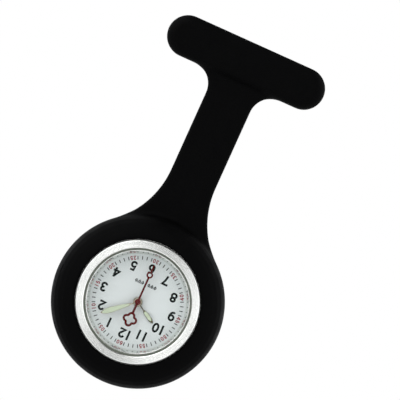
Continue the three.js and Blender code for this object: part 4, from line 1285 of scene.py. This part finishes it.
@dataclass
class BroochPin(Assembly):
    """The pin behind the T-bar: base plate, joint, rivet, needle, catch and its turning sleeve."""

    body: str = "t_bar"
    needle_body: str = "needle"
    sleeve_body: str = "safety_catch"
    needle_height: float = -2.1
    needle_radius: float = 0.4
    needle_tip: Profile = ((0.4, 11.2), (0.32, 12.4), (0.18, 13.5), (0.05, 14.25), (0.0, 14.3))
    pivot_x: float = -13.2
    catch_x: float = 13.0
    base_face: float = 0.55
    base_thickness: float = 0.7
    base_half_straight: float = 13.2
    base_half_height: float = 2.1
    fixing_x: float = 9.5
    fixing_radius: float = 0.6
    foot_half_height: float = 1.4
    foot_back: float = 0.1
    ear: Point = (0.6, 1.15)  # inner and outer face of each ear, from the middle
    ear_radius: float = 0.85
    rivet: Profile = ((0.4, 1.5), (0.6, 1.36), (0.62, 1.2), (0.36, 1.2))  # one end, from its crown inwards
    rivet_crown: float = 1.52
    hook_pipe: Point = (1.2, 1.7)  # inner and outer radius
    hook_half_length: float = 0.8
    sleeve_pipe: Point = (0.62, 1.1)
    collar_pipe: Point = (0.9, 1.5)

    def backwards(self, loops: list[Loop], near: float, far: float, chamfer: float) -> Shape:
        """A plate whose chamfered face looks away from the dial.

        Args:
            loops: its outline, then its holes.
            near: how far its plain face lies behind z = 0, less than 0 where it lies in front.
            far: the same for its chamfered face.
            chamfer: width of the slope.

        Returns:
            The plate.
        """
        plate = slab(loops, near, far, chamfer)
        return Shape(plate.points * np.array([1, 1, -1]), [tuple(reversed(f)) for f in plate.faces])

    def along_x(self, shape: Shape) -> Shape:
        """A shape turned about z laid along the needle's line."""
        return shape.turned(90, "Y").moved(z=self.needle_height)

    def across(self, shape: Shape) -> Shape:
        """A shape turned about z laid along the rivet's line."""
        return shape.turned(90, "X").moved(self.pivot_x, 0, self.needle_height)

    def base(self) -> Shape:
        """The plate with round ends and two fixing holes.

        Returns:
            The plate.
        """
        holes = [circle(self.fixing_radius, x, 0, 24) for x in (-self.fixing_x, self.fixing_x)]
        outline = stadium(self.base_half_straight, self.base_half_height, 16)
        face = -self.base_face
        return self.backwards([outline, *holes], face - self.base_thickness, face, 0.12)

    def cheek(self, side: int) -> Shape:
        """One ear of the joint.

        Args:
            side: 1 for the upper ear, -1 for the lower.

        Returns:
            The ear.
        """
        r, rise = self.ear_radius, 0.3 - self.needle_height
        outline = [(-r, rise)] + arc(0, 0, r, r, 180, 360, 16) + [(r, rise)]
        inner, outer = self.ear
        near, far = (-outer, -inner) if side > 0 else (inner, outer)
        return self.across(slab([outline, circle(0.42, 0, 0, 24)], near, far, 0.05))

    def foot(self, x: float, half_length: float) -> Shape:
        """A brazed foot on the base."""
        outline = eased(rectangle(x - half_length, x + half_length, self.foot_half_height), 0.25)
        return self.backwards([outline], 0.05 - self.base_face, -self.foot_back, 0.08)

    def slotted(self, pipe: Point, x0: float, x1: float, half_slot: float) -> Shape:
        """A pipe on the needle's line, open on the side away from the base.

        Args:
            pipe: its inner and outer radius.
            x0: where it starts.
            x1: where it ends.
            half_slot: half the slot's width at the inner wall.

        Returns:
            The pipe.
        """
        inner, outer = pipe
        slot = math.degrees(math.asin(half_slot / inner))
        profile = eased([(inner, x0), (outer, x0), (outer, x1), (inner, x1)], 0.06, 2)
        return self.along_x(lathe(profile, 48, FULL_TURN - 2 * slot, slot))

    def hook(self) -> Shape:
        """The catch's open hook, its stalk and its foot.

        Returns:
            The catch.
        """
        x, half = self.catch_x, self.hook_half_length
        ring = self.slotted(self.hook_pipe, x - half, x + half, 0.62)
        stalk = slab([eased(rectangle(x - half, x + half, 0.7), 0.1)], self.needle_height + 1.5, 0.3)
        return ring + stalk + self.foot(x, 1.5)

    def sleeve(self) -> Shape:
        """The turning sleeve with its collar and thumb tab.

        Returns:
            The sleeve.
        """
        x, z = self.catch_x, self.needle_height
        pipe = self.slotted(self.sleeve_pipe, x - 1.5, x + 1.4, 0.56)
        collar = self.slotted(self.collar_pipe, x - 1.48, x - 0.92, 0.56)
        outline = [(x - 1.46, 1.25), (x - 0.94, 1.25), (x - 0.94, 1.9), (x - 1.46, 1.9)]
        return pipe + collar + slab([eased(outline, 0.12)], z - 0.33, z + 0.33)

    def needle(self) -> Shape:
        """The needle's wire with the eye that turns on the rivet.

        Returns:
            The needle.
        """
        start = self.pivot_x + 0.5
        wire = lathe(((0.0, start), (self.needle_radius, start), *self.needle_tip), 32)
        eye = slab([circle(0.8, 0, 0, 40), circle(0.43, 0, 0, 32)], -0.5, 0.5, 0.1)
        return self.across(eye) + self.along_x(wire)

    def rivet_shape(self) -> Shape:
        """The rivet with its two domed ends.

        Returns:
            The rivet.
        """
        first = [(0.0, -self.rivet_crown)] + [(r, -h) for r, h in self.rivet]
        second = [(r, h) for r, h in reversed(self.rivet)] + [(0.0, self.rivet_crown)]
        return self.across(lathe(first + second, 40))

    def build(self) -> None:
        """Makes the whole pin."""
        joint = self.foot(self.pivot_x, 1.7) + self.cheek(-1) + self.cheek(1)
        for name, shape, finish, slot, node_name, body in (
            ("pin_base_plate", self.base(), NICKEL, "nickel", "pin_base", self.body),
            ("pin_joint_ears", joint, NICKEL, "nickel", "pin_joint", self.body),
            ("pin_rivet_pin", self.rivet_shape(), NICKEL, "nickel", "pin_rivet", self.body),
            ("needle_wire", self.needle(), NEEDLE_STEEL, "polished_steel", "pin_needle", self.needle_body),
            ("catch_hook", self.hook(), NICKEL, "nickel", "catch_housing", self.body),
            ("catch_roller", self.sleeve(), NICKEL, "nickel", "catch_sleeve", self.sleeve_body),
        ):
            self.piece(name, shape, finish, slot, (node_name,), Drawing.FRONT, body=body)


def dress_nodes() -> None:
    """Gives every CAD node that stays in sight its finish."""
    slot_of = {row["node"]: row["material_slot"] for row in frame["record"]["subparts"]}
    for name, node in frame["nodes"].items():
        if node.hide_render:
            continue
        finish = SLOTS[slot_of[name]].material()
        node.data.materials.clear()
        node.data.materials.append(finish)
        LOG.info("%s: %s", name, finish.name)


# ---------------------------------------------------------------- studio


@dataclass(frozen=True)
class Lamp:
    """A rectangular soft light aimed at the fob."""

    name: str
    place: Place  # in metres
    size: Point  # width and height in metres
    power: float  # in watts

    def build(self, aim: Vector) -> None:
        """Makes the light and turns it to a point in metres.

        Args:
            aim: the point.
        """
        data = bpy.data.lights.new(self.name, "AREA")
        data.shape = "RECTANGLE"
        data.size, data.size_y = self.size
        data.energy = self.power
        made = bpy.data.objects.new(self.name, data)
        made.location = self.place
        made.rotation_mode = "QUATERNION"
        made.rotation_quaternion = (aim - Vector(self.place)).to_track_quat("-Z", "Y")
        bpy.context.scene.collection.objects.link(made)


@dataclass
class Studio:
    """The floor, the lights and the camera."""

    floor_height: float = -155.0
    view_width: float = 94.58
    lens: float = 500.0
    sensor: float = 36.0
    target: Place = (3.48, -5.0, -34.19)
    lean: float = 24.33  # degrees that the fob leans to the right
    tent_reach: Point = (0.1, 0.6)  # how far to the side the tent is still dark, and is fully bright
    tent_strength: Point = (0.1, 1.55)
    lamps: tuple[Lamp, ...] = (
        Lamp("key_light", (-0.35, -0.5, 0.45), (0.5, 0.5), 1.5),
        Lamp("front_light", (0.1, -1.6, 0.15), (2.4, 0.2), 2.0),
    )

    def floor(self) -> None:
        """A plain pale floor under the hanging fob."""
        corners = [(-3.0, -3.0), (3.0, -3.0), (3.0, 0.5), (-3.0, 0.5)]
        mesh = bpy.data.meshes.new("floor")
        mesh.from_pydata([(x, y, self.floor_height * MM) for x, y in corners], [], [(0, 1, 2, 3)])
        paint = bpy.data.materials.new("floor_paint")
        paint.use_nodes = True
        shader = paint.node_tree.nodes["Principled BSDF"]
        shader.inputs["Base Color"].default_value = (0.9, 0.9, 0.9, 1)
        shader.inputs["Roughness"].default_value = 0.9
        mesh.materials.append(paint)
        made = bpy.data.objects.new("floor", mesh)
        bpy.context.scene.collection.objects.link(made)

    def sky(self) -> None:
        """A white backdrop to the eye, and a soft tent of light on the object."""
        world = bpy.data.worlds.new("tent")
        bpy.context.scene.world = world
        world.use_nodes = True
        tree = world.node_tree
        tree.nodes.clear()
        where = node(tree, "TexCoord").outputs["Generated"]
        across = node(tree, "SeparateXYZ", {"Vector": where}).outputs["X"]
        side = node(tree, "Math", {0: across}, operation="ABSOLUTE").outputs["Value"]
        (start, end), (low, high) = self.tent_reach, self.tent_strength
        ends = {"From Min": start, "From Max": end, "To Min": low, "To Max": high}
        ramp = node(tree, "MapRange", {**ends, "Value": side}, interpolation_type="SMOOTHSTEP")
        glow = {"Color": (0.97, 0.985, 1.0, 1), "Strength": ramp.outputs["Result"]}
        tent = node(tree, "Background", glow).outputs["Background"]
        backdrop = node(tree, "Background", {"Color": (1, 1, 1, 1)}).outputs["Background"]
        seen = node(tree, "LightPath").outputs["Is Camera Ray"]
        mix = node(tree, "MixShader", {"Fac": seen, 1: tent, 2: backdrop}).outputs["Shader"]
        node(tree, "OutputWorld", {"Surface": mix})
        bpy.context.scene.view_settings.view_transform = "Standard"

    def camera(self) -> None:
        """The camera in front of the dial, rolled so that the fob leans to the right."""
        data = bpy.data.cameras.new("front_camera")
        data.lens, data.sensor_width = self.lens, self.sensor
        data.clip_start, data.clip_end = 0.01, 20.0
        made = bpy.data.objects.new("front_camera", data)
        a = math.radians(self.lean)
        right, up = Vector((math.cos(a), 0, math.sin(a))), Vector((-math.sin(a), 0, math.cos(a)))
        back = Vector((0, -1, 0))
        distance = self.view_width / self.sensor * self.lens
        place = (Vector(self.target) + back * distance) * MM
        turn = Matrix((right, up, back)).transposed().to_4x4()
        made.matrix_world = Matrix.Translation(place) @ turn
        bpy.context.scene.collection.objects.link(made)
        bpy.context.scene.camera = made

    def build(self) -> None:
        """Sets up the whole studio."""
        self.floor()
        self.sky()
        for lamp in self.lamps:
            lamp.build(Vector(self.target) * MM)
        self.camera()


def main() -> None:
    """Builds every sub-assembly in order."""
    logging.basicConfig(level=logging.INFO, format="%(message)s")
    Studio().build()
    for assembly in (
        Holder(), BroochPin(), CaseRear(), CaseFront(), Dial(), HourHand(), MinuteHand(), SecondHand(),
    ):
        assembly.build()
    dress_nodes()


if __name__ == "__main__":
    main()
